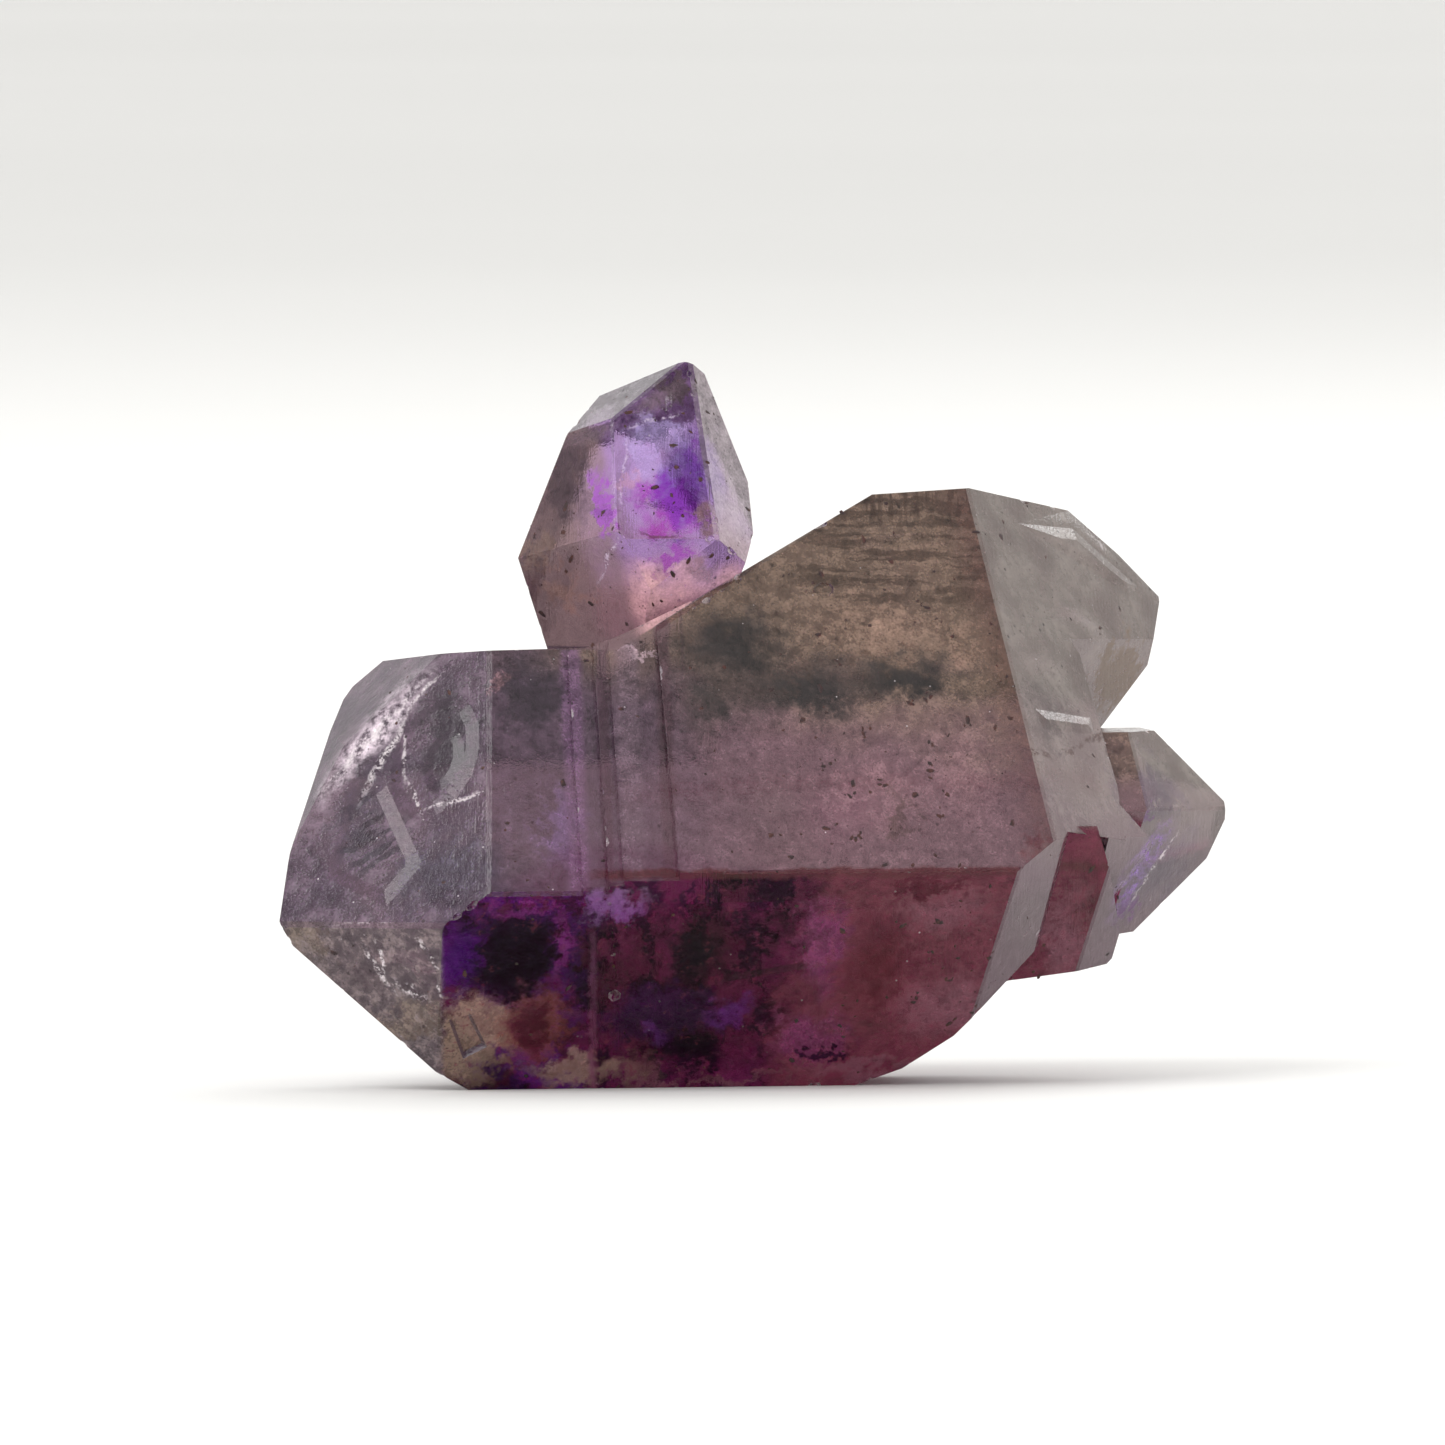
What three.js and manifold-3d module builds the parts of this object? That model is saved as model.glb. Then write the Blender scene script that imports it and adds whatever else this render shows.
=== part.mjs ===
// A smoky amethyst specimen: several quartz crystals grown together into one stone.
// The biggest is a short six-sided prism that lies on one of its long faces, with a
// termination at each end. A smaller point stands on its back, and more small crystals
// grow out of its right-hand end. Millimetres, +Z up, the viewer at -Y.
import * as THREE from "three";
import { ConvexGeometry } from "three/addons/geometries/ConvexGeometry.js";
import { mergeVertices } from "three/addons/utils/BufferGeometryUtils.js";
import Module from "manifold-3d";

const wasm = await Module();
wasm.setup();

// Heights over the face that the stone rests on: the front edge where the upper and lower
// front faces meet, the back edge, the top of the left-hand crystal, the crest of the
// right-hand one, and the tip of the small point.
const EDGE_HEIGHT = 11;
const BACK_HEIGHT = 15;
const LEFT_HEIGHT = 21.75;
const CREST_HEIGHT = 29.7;
const TIP_HEIGHT = 36.2;

// How far the front edge and the back edge are from the middle, and the two ends.
const FRONT = -11;
const BACK = 15;
const LEFT_END = -23.6;
const RIGHT_END = 23.6;

// How far the left-hand crystal's upper front face is set back from the right-hand one's.
const SET_BACK = 1.1;

// The growth axis of the main crystals runs from left to right, and this many degrees
// away from the viewer.
const SWING = 15;

// Quartz angles: neighbouring prism faces turn by this much round the growth axis, and a
// rhombohedral face leans this far from the prism face below it.
const TURN = 60;
const RHOMB = 38.2;

// Three faces that are nearly parallel to one line meet in no corner. A corner may lie
// this far outside a face by rounding, and corners closer together than this are one.
const PARALLEL = 1e-6;
const OUTSIDE = 1e-5;
const SAME = 1e-3;

const rad = THREE.MathUtils.degToRad;
const vec = (p) => new THREE.Vector3(...p);

// A crystal's own directions: along its growth axis, and the zero from which places
// round the axis are counted.
function growth(along, zero) {
  const axis = vec(along).normalize();
  const start = vec(zero).projectOnPlane(axis).normalize();
  return { axis, start, side: new THREE.Vector3().crossVectors(axis, start) };
}

// A flat face square to the direction out, through the point at, set back by inset.
function facing(out, at, inset = 0) {
  const normal = vec(out).normalize();
  const spot = vec(at).addScaledVector(normal, -inset);
  return new THREE.Plane().setFromNormalAndCoplanarPoint(normal, spot);
}

// A flat face of a crystal: around is its place round the growth axis, and toward its
// lean to the axis's far end, 0 on a prism face.
function face(grown, around, toward, at, inset = 0) {
  const out = grown.start.clone().multiplyScalar(Math.cos(rad(around)) * Math.cos(rad(toward)));
  out.addScaledVector(grown.side, Math.sin(rad(around)) * Math.cos(rad(toward)));
  out.addScaledVector(grown.axis, Math.sin(rad(toward)));
  return facing(out.toArray(), at, inset);
}

// The same face moved outwards by the distance, or inwards where it is negative.
const shifted = (plane, distance) => new THREE.Plane(plane.normal.clone(), plane.constant - distance);

// The point of a face that the viewer sees at x and z.
function seen(plane, x, z) {
  const y = -(plane.constant + plane.normal.x * x + plane.normal.z * z) / plane.normal.y;
  return [x, y, z];
}

const cross = (a, b) => new THREE.Vector3().crossVectors(a, b);

// The narrow worn face along the edge between two faces.
function worn(p, q, width) {
  const along = cross(p.normal, q.normal);
  const edge = cross(q.normal, along).multiplyScalar(-p.constant);
  edge.addScaledVector(cross(along, p.normal), -q.constant).divideScalar(along.lengthSq());
  const depth = (width * Math.tan(p.normal.angleTo(q.normal) / 2)) / 2;
  return facing(p.normal.clone().add(q.normal).toArray(), edge.toArray(), depth);
}

// The corners of the convex solid behind all of the planes.
function corners(planes) {
  const found = [];
  for (let i = 0; i < planes.length; i++)
    for (let j = i + 1; j < planes.length; j++)
      for (let k = j + 1; k < planes.length; k++) {
        const [p, q, r] = [planes[i], planes[j], planes[k]];
        const split = p.normal.dot(cross(q.normal, r.normal));
        if (Math.abs(split) < PARALLEL) continue;
        const point = cross(q.normal, r.normal).multiplyScalar(-p.constant);
        point.addScaledVector(cross(r.normal, p.normal), -q.constant);
        point.addScaledVector(cross(p.normal, q.normal), -r.constant);
        point.divideScalar(split);
        const inside = planes.every((s) => s.distanceToPoint(point) < OUTSIDE);
        if (inside && found.every((f) => f.distanceTo(point) > SAME)) found.push(point);
      }
  return found;
}

// One convex crystal as a solid.
function crystal(planes) {
  const geometry = new ConvexGeometry(corners(planes));
  geometry.deleteAttribute("normal");
  geometry.deleteAttribute("uv");
  const merged = mergeVertices(geometry, SAME);
  return new wasm.Manifold(
    new wasm.Mesh({
      numProp: 3,
      vertProperties: new Float32Array(merged.attributes.position.array),
      triVerts: new Uint32Array(merged.index.array),
    }),
  );
}

// A flat-topped growth on a face, from depth under it to height over it. The outline is a
// convex one, in the x and z that the viewer sees, and its sides lean in by slope degrees.
function plate(base, outline, height, depth, slope) {
  const points = outline.map(([x, z]) => vec(seen(base, x, z)));
  const middle = points.reduce((sum, p) => sum.add(p), new THREE.Vector3());
  middle.divideScalar(points.length);
  const sides = points.map((p, i) => {
    const next = points[(i + 1) % points.length];
    const out = cross(next.clone().sub(p), base.normal).normalize();
    if (out.dot(middle.clone().sub(p)) > 0) out.negate();
    out.multiplyScalar(Math.cos(rad(slope))).addScaledVector(base.normal, Math.sin(rad(slope)));
    return facing(out.toArray(), p.toArray());
  });
  const under = base.normal.clone().negate();
  const floor = facing(under.toArray(), points[0].toArray(), -depth);
  return crystal([shifted(base, height), floor, ...sides]);
}

// The parallel growth of the main crystals. Around 0 is up and 90 faces the viewer.
const main = growth([Math.cos(rad(SWING)), Math.sin(rad(SWING)), 0], [0, 0, 1]);

// The long faces of the main crystals, and the grey faces of their right-hand ends.
const frontEdge = [0, FRONT, EDGE_HEIGHT];
const backEdge = [4, BACK, BACK_HEIGHT];
const upperFront = face(main, TURN, 0, frontEdge);
const lowerFront = face(main, 2 * TURN, 0, frontEdge);
const rest = face(main, 180, 0, [0, 0, 0]);
const upperBack = face(main, -TURN, 0, backEdge);
const lowerBack = face(main, -2 * TURN, 0, backEdge);
const grey = face(main, 56, RHOMB, seen(upperFront, 10.7, CREST_HEIGHT - 0.1));
const greyBelow = face(main, 126, 36, seen(lowerFront, 13.2, 11));
const shoulder = facing([-1, 0, -0.1], seen(upperFront, -4.4, 17));

// The sloping top of the right-hand crystal, from its crest down to the small point.
const slope = facing([-0.55, 0.05, 0.83], seen(upperFront, 4.7, 29.3));
const slopeBelow = facing([-0.52, 0.05, 0.85], seen(upperFront, -0.5, 25.8));

// The tall upper part of the right-hand crystal.
function tallHead() {
  return crystal([
    upperFront,
    lowerFront,
    slope,
    slopeBelow,
    grey,
    worn(upperFront, grey, 0.25),
    worn(upperFront, slope, 0.7),
    facing([-0.07, 0.04, 1], [10.2, 3, CREST_HEIGHT]),
    facing([0.12, 0.1, 0.99], seen(grey, 13.5, 29)),
    facing([0.66, 0.1, 0.69], seen(grey, 18.5, 25.95)),
    facing([0.97, 0.02, 0.1], seen(grey, 20.45, 23.5)),
    face(main, 126, 36, seen(grey, 15.8, 22.1)),
    facing([0.98, 0.02, -0.2], seen(grey, 20.05, 21.6)),
    facing([0.79, 0.02, -0.6], seen(grey, 19.7, 20.3)),
    upperBack,
    lowerBack,
    face(main, -TURN, RHOMB, [19.5, 15, 22]),
    face(main, -TURN, -RHOMB, [-2, 12, 17]),
    face(main, -2 * TURN, -RHOMB, [-2, 12, 10]),
    face(main, -2 * TURN, RHOMB, [16, 14, 9]),
    facing([0, 0, -1], [0, 0, 6]),
    shifted(shoulder, -0.02),
  ]);
}

// The middle of the grey end, which sticks out past the body below it like a shelf.
function shelf() {
  return crystal([
    upperFront,
    lowerFront,
    grey,
    worn(upperFront, grey, 0.25),
    facing([0.8, 0.25, 0.55], seen(grey, 15.8, 22.1)),
    facing([0.93, 0.25, 0.3], seen(grey, 17, 20.5)),
    facing([0.98, 0.15, 0.05], seen(grey, 17.7, 17.7)),
    facing([0.97, 0.1, 0.23], seen(grey, 17.7, 16.4)),
    facing([-0.04, -0.1, -0.91], seen(grey, 16.9, 12.5)),
    facing([0, 0, 1], [0, 0, 24]),
    shifted(upperBack, -4.5),
    facing([0.3, 0.95, 0.1], [17, 8, 15]),
    facing([-1, 0, 0], [8, 0, 0]),
  ]);
}

// The body of the right-hand crystal, down to the face that the stone rests on.
function rightBody() {
  return crystal([
    upperFront,
    lowerFront,
    rest,
    grey,
    greyBelow,
    worn(upperFront, lowerFront, 0.2),
    worn(upperFront, grey, 0.25),
    worn(lowerFront, greyBelow, 0.2),
    facing([0.93, 0.25, 0.3], seen(grey, 15.8, 21.1)),
    facing([0.95, -0.1, -0.3], seen(greyBelow, 14.2, 7.7)),
    facing([0.71, 0.05, -0.7], seen(greyBelow, 11.5, 4.1)),
    facing([0.54, 0.05, -0.84], seen(lowerFront, 9.7, 2.35)),
    facing([0.33, 0.05, -0.94], seen(lowerFront, 7.5, 0.9)),
    upperBack,
    lowerBack,
    face(main, -TURN, RHOMB, [17, 15, 19]),
    face(main, -2 * TURN, RHOMB, [15, 13, 6]),
    face(main, -TURN, -RHOMB, [-2, 12, 17]),
    face(main, -2 * TURN, -RHOMB, [-3, 11, 9]),
    facing([0, 0, 1], [0, 0, 21]),
    shoulder,
  ]);
}

// A growth step between the two bodies. Each is set back a little more than the last.
function step(inset, start, below, top, rise) {
  const front = shifted(upperFront, -inset);
  const under = shifted(lowerFront, -below);
  return crystal([
    front,
    under,
    worn(front, under, 0.2),
    rest,
    facing([-1, 0, -0.07], seen(front, start, 16)),
    facing([-rise, 0.05, 1], seen(front, ...top)),
    facing([0.1, 0.2, 1], [-4, 0, 23.6]),
    shifted(upperBack, -3.4 - 2 * inset),
    shifted(lowerBack, -1 - inset),
    face(main, -TURN, -RHOMB, [start - 1, 9, 16]),
    face(main, -2 * TURN, -RHOMB, [start - 2, 8, 9]),
    facing([1, 0, 0], [3, 0, 0]),
  ]);
}

// The left-hand crystal, with its worn and many-faced termination.
const leftFront = shifted(upperFront, -SET_BACK);
const leftBelow = shifted(lowerFront, -0.1);
const endUpper = face(main, 54, -RHOMB, seen(leftFront, -13.3, 15.5));
const endLower = face(main, 124, -RHOMB, seen(leftBelow, -15.7, 6));
const endTop = facing([-0.65, -0.3, 0.68], seen(endUpper, -16.2, 21.2));
const endSide = facing([-0.8, -0.3, 0.51], seen(endUpper, -20.7, 16.7));

function leftBody() {
  return crystal([
    leftFront,
    leftBelow,
    rest,
    endUpper,
    endLower,
    endTop,
    endSide,
    worn(leftFront, leftBelow, 0.25),
    worn(leftFront, endUpper, 0.3),
    worn(endUpper, endTop, 0.45),
    worn(endUpper, endSide, 0.4),
    worn(endUpper, endLower, 0.3),
    facing([-0.04, 0.08, 1], [-9.3, -3, LEFT_HEIGHT]),
    facing([-0.12, 0.1, 1], [-18.3, 0, LEFT_HEIGHT - 0.5]),
    facing([-0.65, 0.2, 0.72], seen(endTop, -19.4, 20.6)),
    facing([-0.84, 0.15, 0.5], seen(endTop, -20.9, 18.9)),
    facing([-0.94, 0.15, 0.3], seen(endSide, -21.9, 16.8)),
    facing([-0.97, 0.15, 0.2], seen(endUpper, -22.9, 13.1)),
    facing([-0.99, 0.2, 0.04], seen(endUpper, LEFT_END, 9.5)),
    facing([-0.83, 0.3, -0.42], seen(endLower, LEFT_END + 0.3, 7.6)),
    facing([-0.6, 0.3, -0.7], seen(endLower, -19.7, 4.25)),
    shifted(upperBack, -4.6),
    shifted(lowerBack, -2.4),
    face(main, -TURN, -RHOMB, [-20, 3, 17.5]),
    face(main, -2 * TURN, -RHOMB, [-20, 3, 7]),
    facing([1, 0, 0], [4, 0, 0]),
  ]);
}

// A small crystal in parallel growth, low on the right, with its own grey face.
function rightPoint() {
  const side = face(main, TURN, 0, seen(grey, 18.0, 16.2), 0.3);
  const upper = face(main, 56, RHOMB, seen(side, 18.8, 17.4));
  const lower = face(main, 126, 36, seen(upper, 20.7, 13.6));
  return crystal([
    side,
    upper,
    lower,
    worn(side, upper, 0.2),
    worn(upper, lower, 0.2),
    face(main, 0, 0, [19, 0, 17.45]),
    facing([0.68, 0.1, 0.73], seen(upper, 20.4, 17.1)),
    facing([0.98, 0.15, 0.1], seen(upper, RIGHT_END, 13.9)),
    facing([0.92, 0.15, -0.38], seen(lower, RIGHT_END - 0.2, 12.3)),
    facing([0.64, 0.15, -0.75], seen(lower, 20.7, 8.9)),
    face(main, 2 * TURN, 0, seen(lower, 18.0, 8.4)),
    facing([0.1, 0, -1], [18.2, 0, 7.2]),
    face(main, -TURN, RHOMB, [22.5, 12, 14]),
    face(main, -2 * TURN, RHOMB, [21, 12, 9]),
    face(main, -TURN, 0, [18, 12, 14]),
    face(main, -2 * TURN, 0, [16, 10, 9]),
    facing([-1, 0, 0], [12, 0, 0]),
  ]);
}

// The ledge under the grey shelf, between the body and the small right-hand crystal.
function rightLedge() {
  const under = face(main, 126, 36, seen(grey, 18.0, 12.35));
  return crystal([
    grey,
    under,
    facing([0.8, -0.1, -0.58], seen(under, 18.8, 10.5)),
    facing([-0.8, -0.58, -0.15], seen(under, 17.1, 10)),
    facing([0.73, 0.1, 0.68], seen(grey, 18.3, 13.9)),
    facing([0, 0, -1], [0, 0, 7]),
    facing([0, 0, 1], [0, 0, 14]),
    facing([0, 1, 0], [0, 5, 0]),
  ]);
}

// A stub of another crystal low on the right, set back behind the body.
function lowStub() {
  const front = face(main, 2 * TURN, 0, seen(greyBelow, 15, 8.2), 0.6);
  const end = face(main, 126, 36, seen(front, 16.7, 7.4));
  return crystal([
    front,
    end,
    worn(front, end, 0.2),
    facing([0.12, 0.05, -1], seen(front, 14.6, 5.35)),
    facing([0.7, 0.05, -0.7], seen(end, 17.7, 5.9)),
    facing([0.97, 0.05, -0.25], seen(end, 18.1, 6.8)),
    facing([0.9, 0.2, 0.4], seen(end, 18.3, 7.4)),
    face(main, -2 * TURN, 0, [14, 10, 8]),
    facing([-1, 0, 0], [8, 0, 0]),
    facing([0, 0, 1], [0, 0, 13]),
  ]);
}

// The small point that stands on the back of the stone.
const pointFront = facing([0.05, -0.93, 0.36], [-4.8, -3.2, 30.8]);
const pointLeft = facing([-0.62, -0.74, 0.26], seen(pointFront, -7.1, 30.3));

function topPoint() {
  const tip = facing([-0.52, -0.34, 0.79], seen(pointFront, -3.7, TIP_HEIGHT));
  const right = facing([0.8, -0.52, 0.32], seen(pointFront, -2.5, 31.3));
  return crystal([
    pointFront,
    pointLeft,
    tip,
    right,
    worn(pointFront, pointLeft, 0.2),
    worn(pointFront, tip, 0.2),
    worn(pointFront, right, 0.3),
    worn(pointLeft, tip, 0.2),
    facing([0.32, 0.1, 0.94], seen(pointFront, -3.1, TIP_HEIGHT - 0.15)),
    facing([0.92, 0.05, 0.37], [-1.2, 0, 32.1]),
    facing([0.97, -0.1, 0.25], [-0.45, -1, 30.2]),
    facing([0.99, 0.05, 0.08], [-0.25, 0, 28.2]),
    facing([0.93, 0.1, -0.35], [-0.4, 0, 27.3]),
    facing([-0.85, 0.4, 0.33], seen(pointLeft, -9.7, 31.9)),
    facing([-0.97, 0.2, -0.26], seen(pointLeft, -11.9, 26.3)),
    facing([0.02, 0.65, 0.76], seen(tip, -3.9, TIP_HEIGHT - 0.1)),
    facing([0.5, 0.82, 0.27], [-2.6, 3, 32]),
    facing([-0.45, 0.85, 0.2], [-8.5, 4.2, 29]),
    facing([0.05, 0.99, 0.05], [-6, 5.2, 27]),
    facing([0.05, 0.98, -0.15], [-6, 5.2, 25]),
    facing([0.05, -0.98, -0.12], seen(pointFront, -4.8, 27.4)),
    facing([0.35, -0.8, -0.5], [-1.1, -2.7, 25.3]),
    facing([-0.48, -0.8, -0.35], seen(pointLeft, -9, 27.2)),
    facing([0, 0, -1], [0, 0, 16]),
  ]);
}

// A rounded outline about a middle, with its two half widths.
const SIDES = 14;
function rounded(x, z, across, up, tilt = 0) {
  return Array.from({ length: SIDES }, (_, i) => {
    const turn = (2 * Math.PI * i) / SIDES;
    const spot = new THREE.Vector2(across * Math.cos(turn), up * Math.sin(turn));
    spot.rotateAround(new THREE.Vector2(), rad(tilt));
    return [x + spot.x, z + spot.y];
  });
}

// Low flat growths on the faces, in the x and z that the viewer sees. Each is as high as
// its number, in millimetres.
const GROWTHS = [
  [endUpper, 0.12, rounded(-16, 16.6, 2, 3.2, -25)],
  [endUpper, 0.22, rounded(-15.5, 16.4, 1.5, 2.3, -25)],
  [endUpper, 0.12, [[-20.2, 15.6], [-18.4, 15.2], [-16.6, 11.4], [-18.4, 9.3], [-21.4, 10.6]]],
  [endLower, 0.12, [[-19.6, 7], [-16.6, 7.2], [-15.9, 6], [-15.9, 3.4], [-17.9, 4.7]]],
  [endLower, 0.24, [[-18.5, 7], [-16.8, 7.2], [-16, 6], [-16, 4.4], [-17.3, 5.2]]],
  [leftFront, 0.1, [[-12.9, 20.8], [-12.1, 21], [-11.5, 12], [-12.6, 10.6]]],
  [upperFront, 0.12, [[4.6, 27.6], [9.6, 28.6], [10.6, 27.6], [9.4, 26.9], [5.2, 26.8]]],
  [grey, 0.12, [[13.2, 27.9], [16, 27.5], [19.3, 24.5], [18.9, 24.1]]],
  [grey, 0.1, [[14, 18.8], [16.8, 18.2], [17, 17.4], [14.4, 17.8]]],
  [lowerFront, 0.08, [[-3.6, 9.4], [1.8, 9.5], [3.6, 6.2], [-1.5, 5.4]]],
  [pointFront, 0.1, rounded(-4.1, 33.8, 0.6, 0.9)],
  [upperBack, 0.12, [[0.6, 22.6], [3.2, 24.2], [4.6, 16.4], [2.2, 16]]],
  [upperBack, 0.16, [[5.2, 25.8], [8.9, 26.6], [9.7, 16.8], [6.6, 16.4]]],
  [upperBack, 0.3, [[6.2, 23.2], [8, 23.6], [8.6, 18.4], [7.2, 18.2]]],
  [lowerBack, 0.14, [[0.4, 12.6], [4.4, 13], [6.4, 5.4], [2, 4.8]]],
  [lowerBack, 0.1, [[6.4, 12.8], [8.2, 13], [9.8, 7.6], [8.2, 6.8]]],
];

// Pits and broken places, each as deep as its number.
const PITS = [
  [greyBelow, 0.3, rounded(12.8, 12.2, 0.5, 0.4)],
  [leftBelow, 0.3, [[-15.3, 3.6], [-14.2, 3.9], [-13.4, 2.2], [-14.6, 1.6]]],
  [upperFront, 0.1, rounded(3.4, 24.8, 0.5, 0.35)],
  [upperBack, 0.45, rounded(12.4, 19, 2.2, 2.4)],
];

// How far growths reach into their face and pits out of it, and the lean of their sides.
const ROOT = 0.02;
const GROWTH_LEAN = 80;
const PIT_LEAN = -30;

const solids = [
  tallHead(),
  shelf(),
  rightBody(),
  step(0.3, -6.95, 0, [-5.3, 23.3], 0.5),
  step(0.55, -7.7, 0, [-7.3, 22.4], 0.4),
  step(0.85, -9, 0.05, [-8.5, 22], 0.3),
  leftBody(),
  rightPoint(),
  rightLedge(),
  lowStub(),
  topPoint(),
  ...GROWTHS.map(([base, height, outline]) => plate(base, outline, height, ROOT, GROWTH_LEAN)),
];
const pits = PITS.map(([base, depth, outline]) => plate(base, outline, ROOT, depth, PIT_LEAN));
const whole = solids.reduce((sum, piece) => sum.add(piece));
const stone = pits.reduce((rest, pit) => rest.subtract(pit), whole);

// The stone stands with the middle of its underside at the origin.
const mesh = stone.getMesh();
const geometry = new THREE.BufferGeometry();
geometry.setAttribute("position", new THREE.BufferAttribute(mesh.vertProperties, 3));
geometry.setIndex(new THREE.BufferAttribute(mesh.triVerts, 1));
geometry.computeBoundingBox();
const box = geometry.boundingBox;
const centre = box.getCenter(new THREE.Vector3());
geometry.translate(-centre.x, -centre.y, -box.min.z);
geometry.computeVertexNormals();

const amethyst = new THREE.MeshStandardMaterial({ color: 0x6f5468, roughness: 0.2, metalness: 0 });
const node = new THREE.Mesh(geometry, amethyst);
node.name = "crystal_cluster";

const group = new THREE.Group();
group.add(node);
export default group;
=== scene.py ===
# %% [markdown]
# # A smoky amethyst cluster
# The object is a stone of several quartz crystals that grew together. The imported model
# gives its faces. This lesson turns them into amethyst: clear crystal with smoke, violet
# zones and rust specks inside, fine growth lines outside and worn edges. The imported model
# is loaded first, and its box is kept, because nothing made here may leave it.

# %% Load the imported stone
import math
import random

import bmesh
import bpy
from mathutils import Matrix, Vector, noise
from mathutils.bvhtree import BVHTree


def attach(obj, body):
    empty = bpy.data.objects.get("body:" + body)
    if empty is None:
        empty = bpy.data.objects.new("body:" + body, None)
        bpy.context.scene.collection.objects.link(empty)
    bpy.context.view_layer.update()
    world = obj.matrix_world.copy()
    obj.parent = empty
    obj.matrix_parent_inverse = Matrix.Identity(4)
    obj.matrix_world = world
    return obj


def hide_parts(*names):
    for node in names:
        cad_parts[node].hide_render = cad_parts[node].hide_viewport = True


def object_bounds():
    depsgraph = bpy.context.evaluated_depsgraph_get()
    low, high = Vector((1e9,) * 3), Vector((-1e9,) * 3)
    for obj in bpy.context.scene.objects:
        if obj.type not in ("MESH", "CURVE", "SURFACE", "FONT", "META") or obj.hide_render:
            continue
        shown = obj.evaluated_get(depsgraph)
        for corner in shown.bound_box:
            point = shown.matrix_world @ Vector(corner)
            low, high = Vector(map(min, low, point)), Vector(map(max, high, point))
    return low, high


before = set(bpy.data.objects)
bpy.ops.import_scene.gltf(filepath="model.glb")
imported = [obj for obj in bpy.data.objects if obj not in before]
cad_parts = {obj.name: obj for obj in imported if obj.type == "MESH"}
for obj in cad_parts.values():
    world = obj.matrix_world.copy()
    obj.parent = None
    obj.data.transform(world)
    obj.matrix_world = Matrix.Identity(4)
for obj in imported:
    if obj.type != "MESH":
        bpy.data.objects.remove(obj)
cad_box = [list(corner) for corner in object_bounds()]
stone_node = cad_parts["crystal_cluster"]
MM = 0.001
print("box of the stone in mm:", [[round(value / MM, 2) for value in c] for c in cad_box])

# %% [markdown]
# ## The faces and edges of the stone
# A real crystal has flat faces, and edges that were knocked in the ground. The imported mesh
# could be shown as it is, but its edges are as sharp as a drawing's. Here its flat
# triangles are first joined back to whole faces, and then each edge gets a narrow worn
# facet by a bevel. The worn facets are marked with a value, so that the material can
# make them rough and pale. A remesh would have rounded the faces too, which is why the
# bevel was chosen.

# %% The stone with worn edges
WELD = 0.002
FLAT_ENOUGH = math.radians(0.4)
EDGE_TURN = math.radians(22)
WORN_WIDTH = 0.06


def whole_faces(node):
    """The node's mesh in millimetres, with its flat triangles joined to whole faces."""
    bm = bmesh.new()
    bm.from_mesh(node.data)
    bmesh.ops.scale(bm, vec=(1 / MM,) * 3, verts=bm.verts)
    bmesh.ops.remove_doubles(bm, verts=bm.verts, dist=WELD)
    bmesh.ops.dissolve_limit(
        bm, angle_limit=FLAT_ENOUGH, verts=bm.verts, edges=bm.edges
    )
    return bm


def turning_edges(bm):
    """The edges where the stone turns enough to be felt, hollow corners left out."""
    return [
        e for e in bm.edges
        if len(e.link_faces) == 2 and e.calc_face_angle() > EDGE_TURN and e.is_convex
    ]


def wear_edges(bm, width):
    """A narrow facet along every edge that turns enough, marked in the wear value."""
    wear = bm.faces.layers.float.new("wear")
    made = bmesh.ops.bevel(
        bm, geom=turning_edges(bm), offset=width, segments=2, profile=0.6,
        affect="EDGES", clamp_overlap=True,
    )
    for face in made["faces"]:
        face[wear] = 1.0
    return len(made["faces"])


def finished(bm, name, scale=MM):
    """A Blender object in metres from a mesh in millimetres."""
    bmesh.ops.scale(bm, vec=(scale,) * 3, verts=bm.verts)
    mesh = bpy.data.meshes.new(name)
    bm.to_mesh(mesh)
    bm.free()
    made = bpy.data.objects.new(name, mesh)
    bpy.context.scene.collection.objects.link(made)
    return made


plain = whole_faces(stone_node)
surface = BVHTree.FromBMesh(plain)
stone_mesh = plain.copy()
print("worn facets:", wear_edges(stone_mesh, WORN_WIDTH), "of", len(stone_mesh.faces), "faces")

# %% [markdown]
# ## Chips along the edges
# Quartz breaks in small shells, so its edges are never whole: a row of tiny chips follows
# each one, most where the stone was knocked. They could be drawn in the bump of the
# material, but then the outline would stay straight. Here small rough pebbles are taken
# away from the mesh at seeded places along the edges, by a Boolean, which leaves the
# hollow that a real chip leaves. Only edges between large faces are chipped, because thin
# growth steps would lose their line.

# %% Chips
CHIP_SEED = 5
CHIP_COUNT = 240
CHIP_SIZES = (0.08, 0.42)
CHIP_OUTWARD = 0.55
CHIPPED_FACE = 1.5
CHIP_WEAR = 0.4


def chip_pebbles(bm_edges, count, seed):
    """Rough pebbles along the edges, longer edges getting more of them."""
    source = random.Random(seed)
    lengths = [e.calc_length() for e in bm_edges]
    pebbles = bmesh.new()
    wear = pebbles.faces.layers.float.new("wear")
    for edge in source.choices(bm_edges, lengths, k=count):
        start, end = (v.co for v in edge.verts)
        spot = start.lerp(end, source.random())
        out = (edge.link_faces[0].normal + edge.link_faces[1].normal).normalized()
        size = CHIP_SIZES[0] + (CHIP_SIZES[1] - CHIP_SIZES[0]) * source.random() ** 3
        made = bmesh.ops.create_icosphere(pebbles, subdivisions=2, radius=size)
        along = (end - start).normalized()
        for vert in made["verts"]:
            rough = 1 + 0.25 * noise.noise(vert.co / size * 1.7 + spot)
            stretch = along * vert.co.dot(along) * source.uniform(0.2, 0.3)
            vert.co = spot + out * size * CHIP_OUTWARD + vert.co * rough + stretch
    for face in pebbles.faces:
        face[wear] = CHIP_WEAR
    return pebbles


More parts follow.
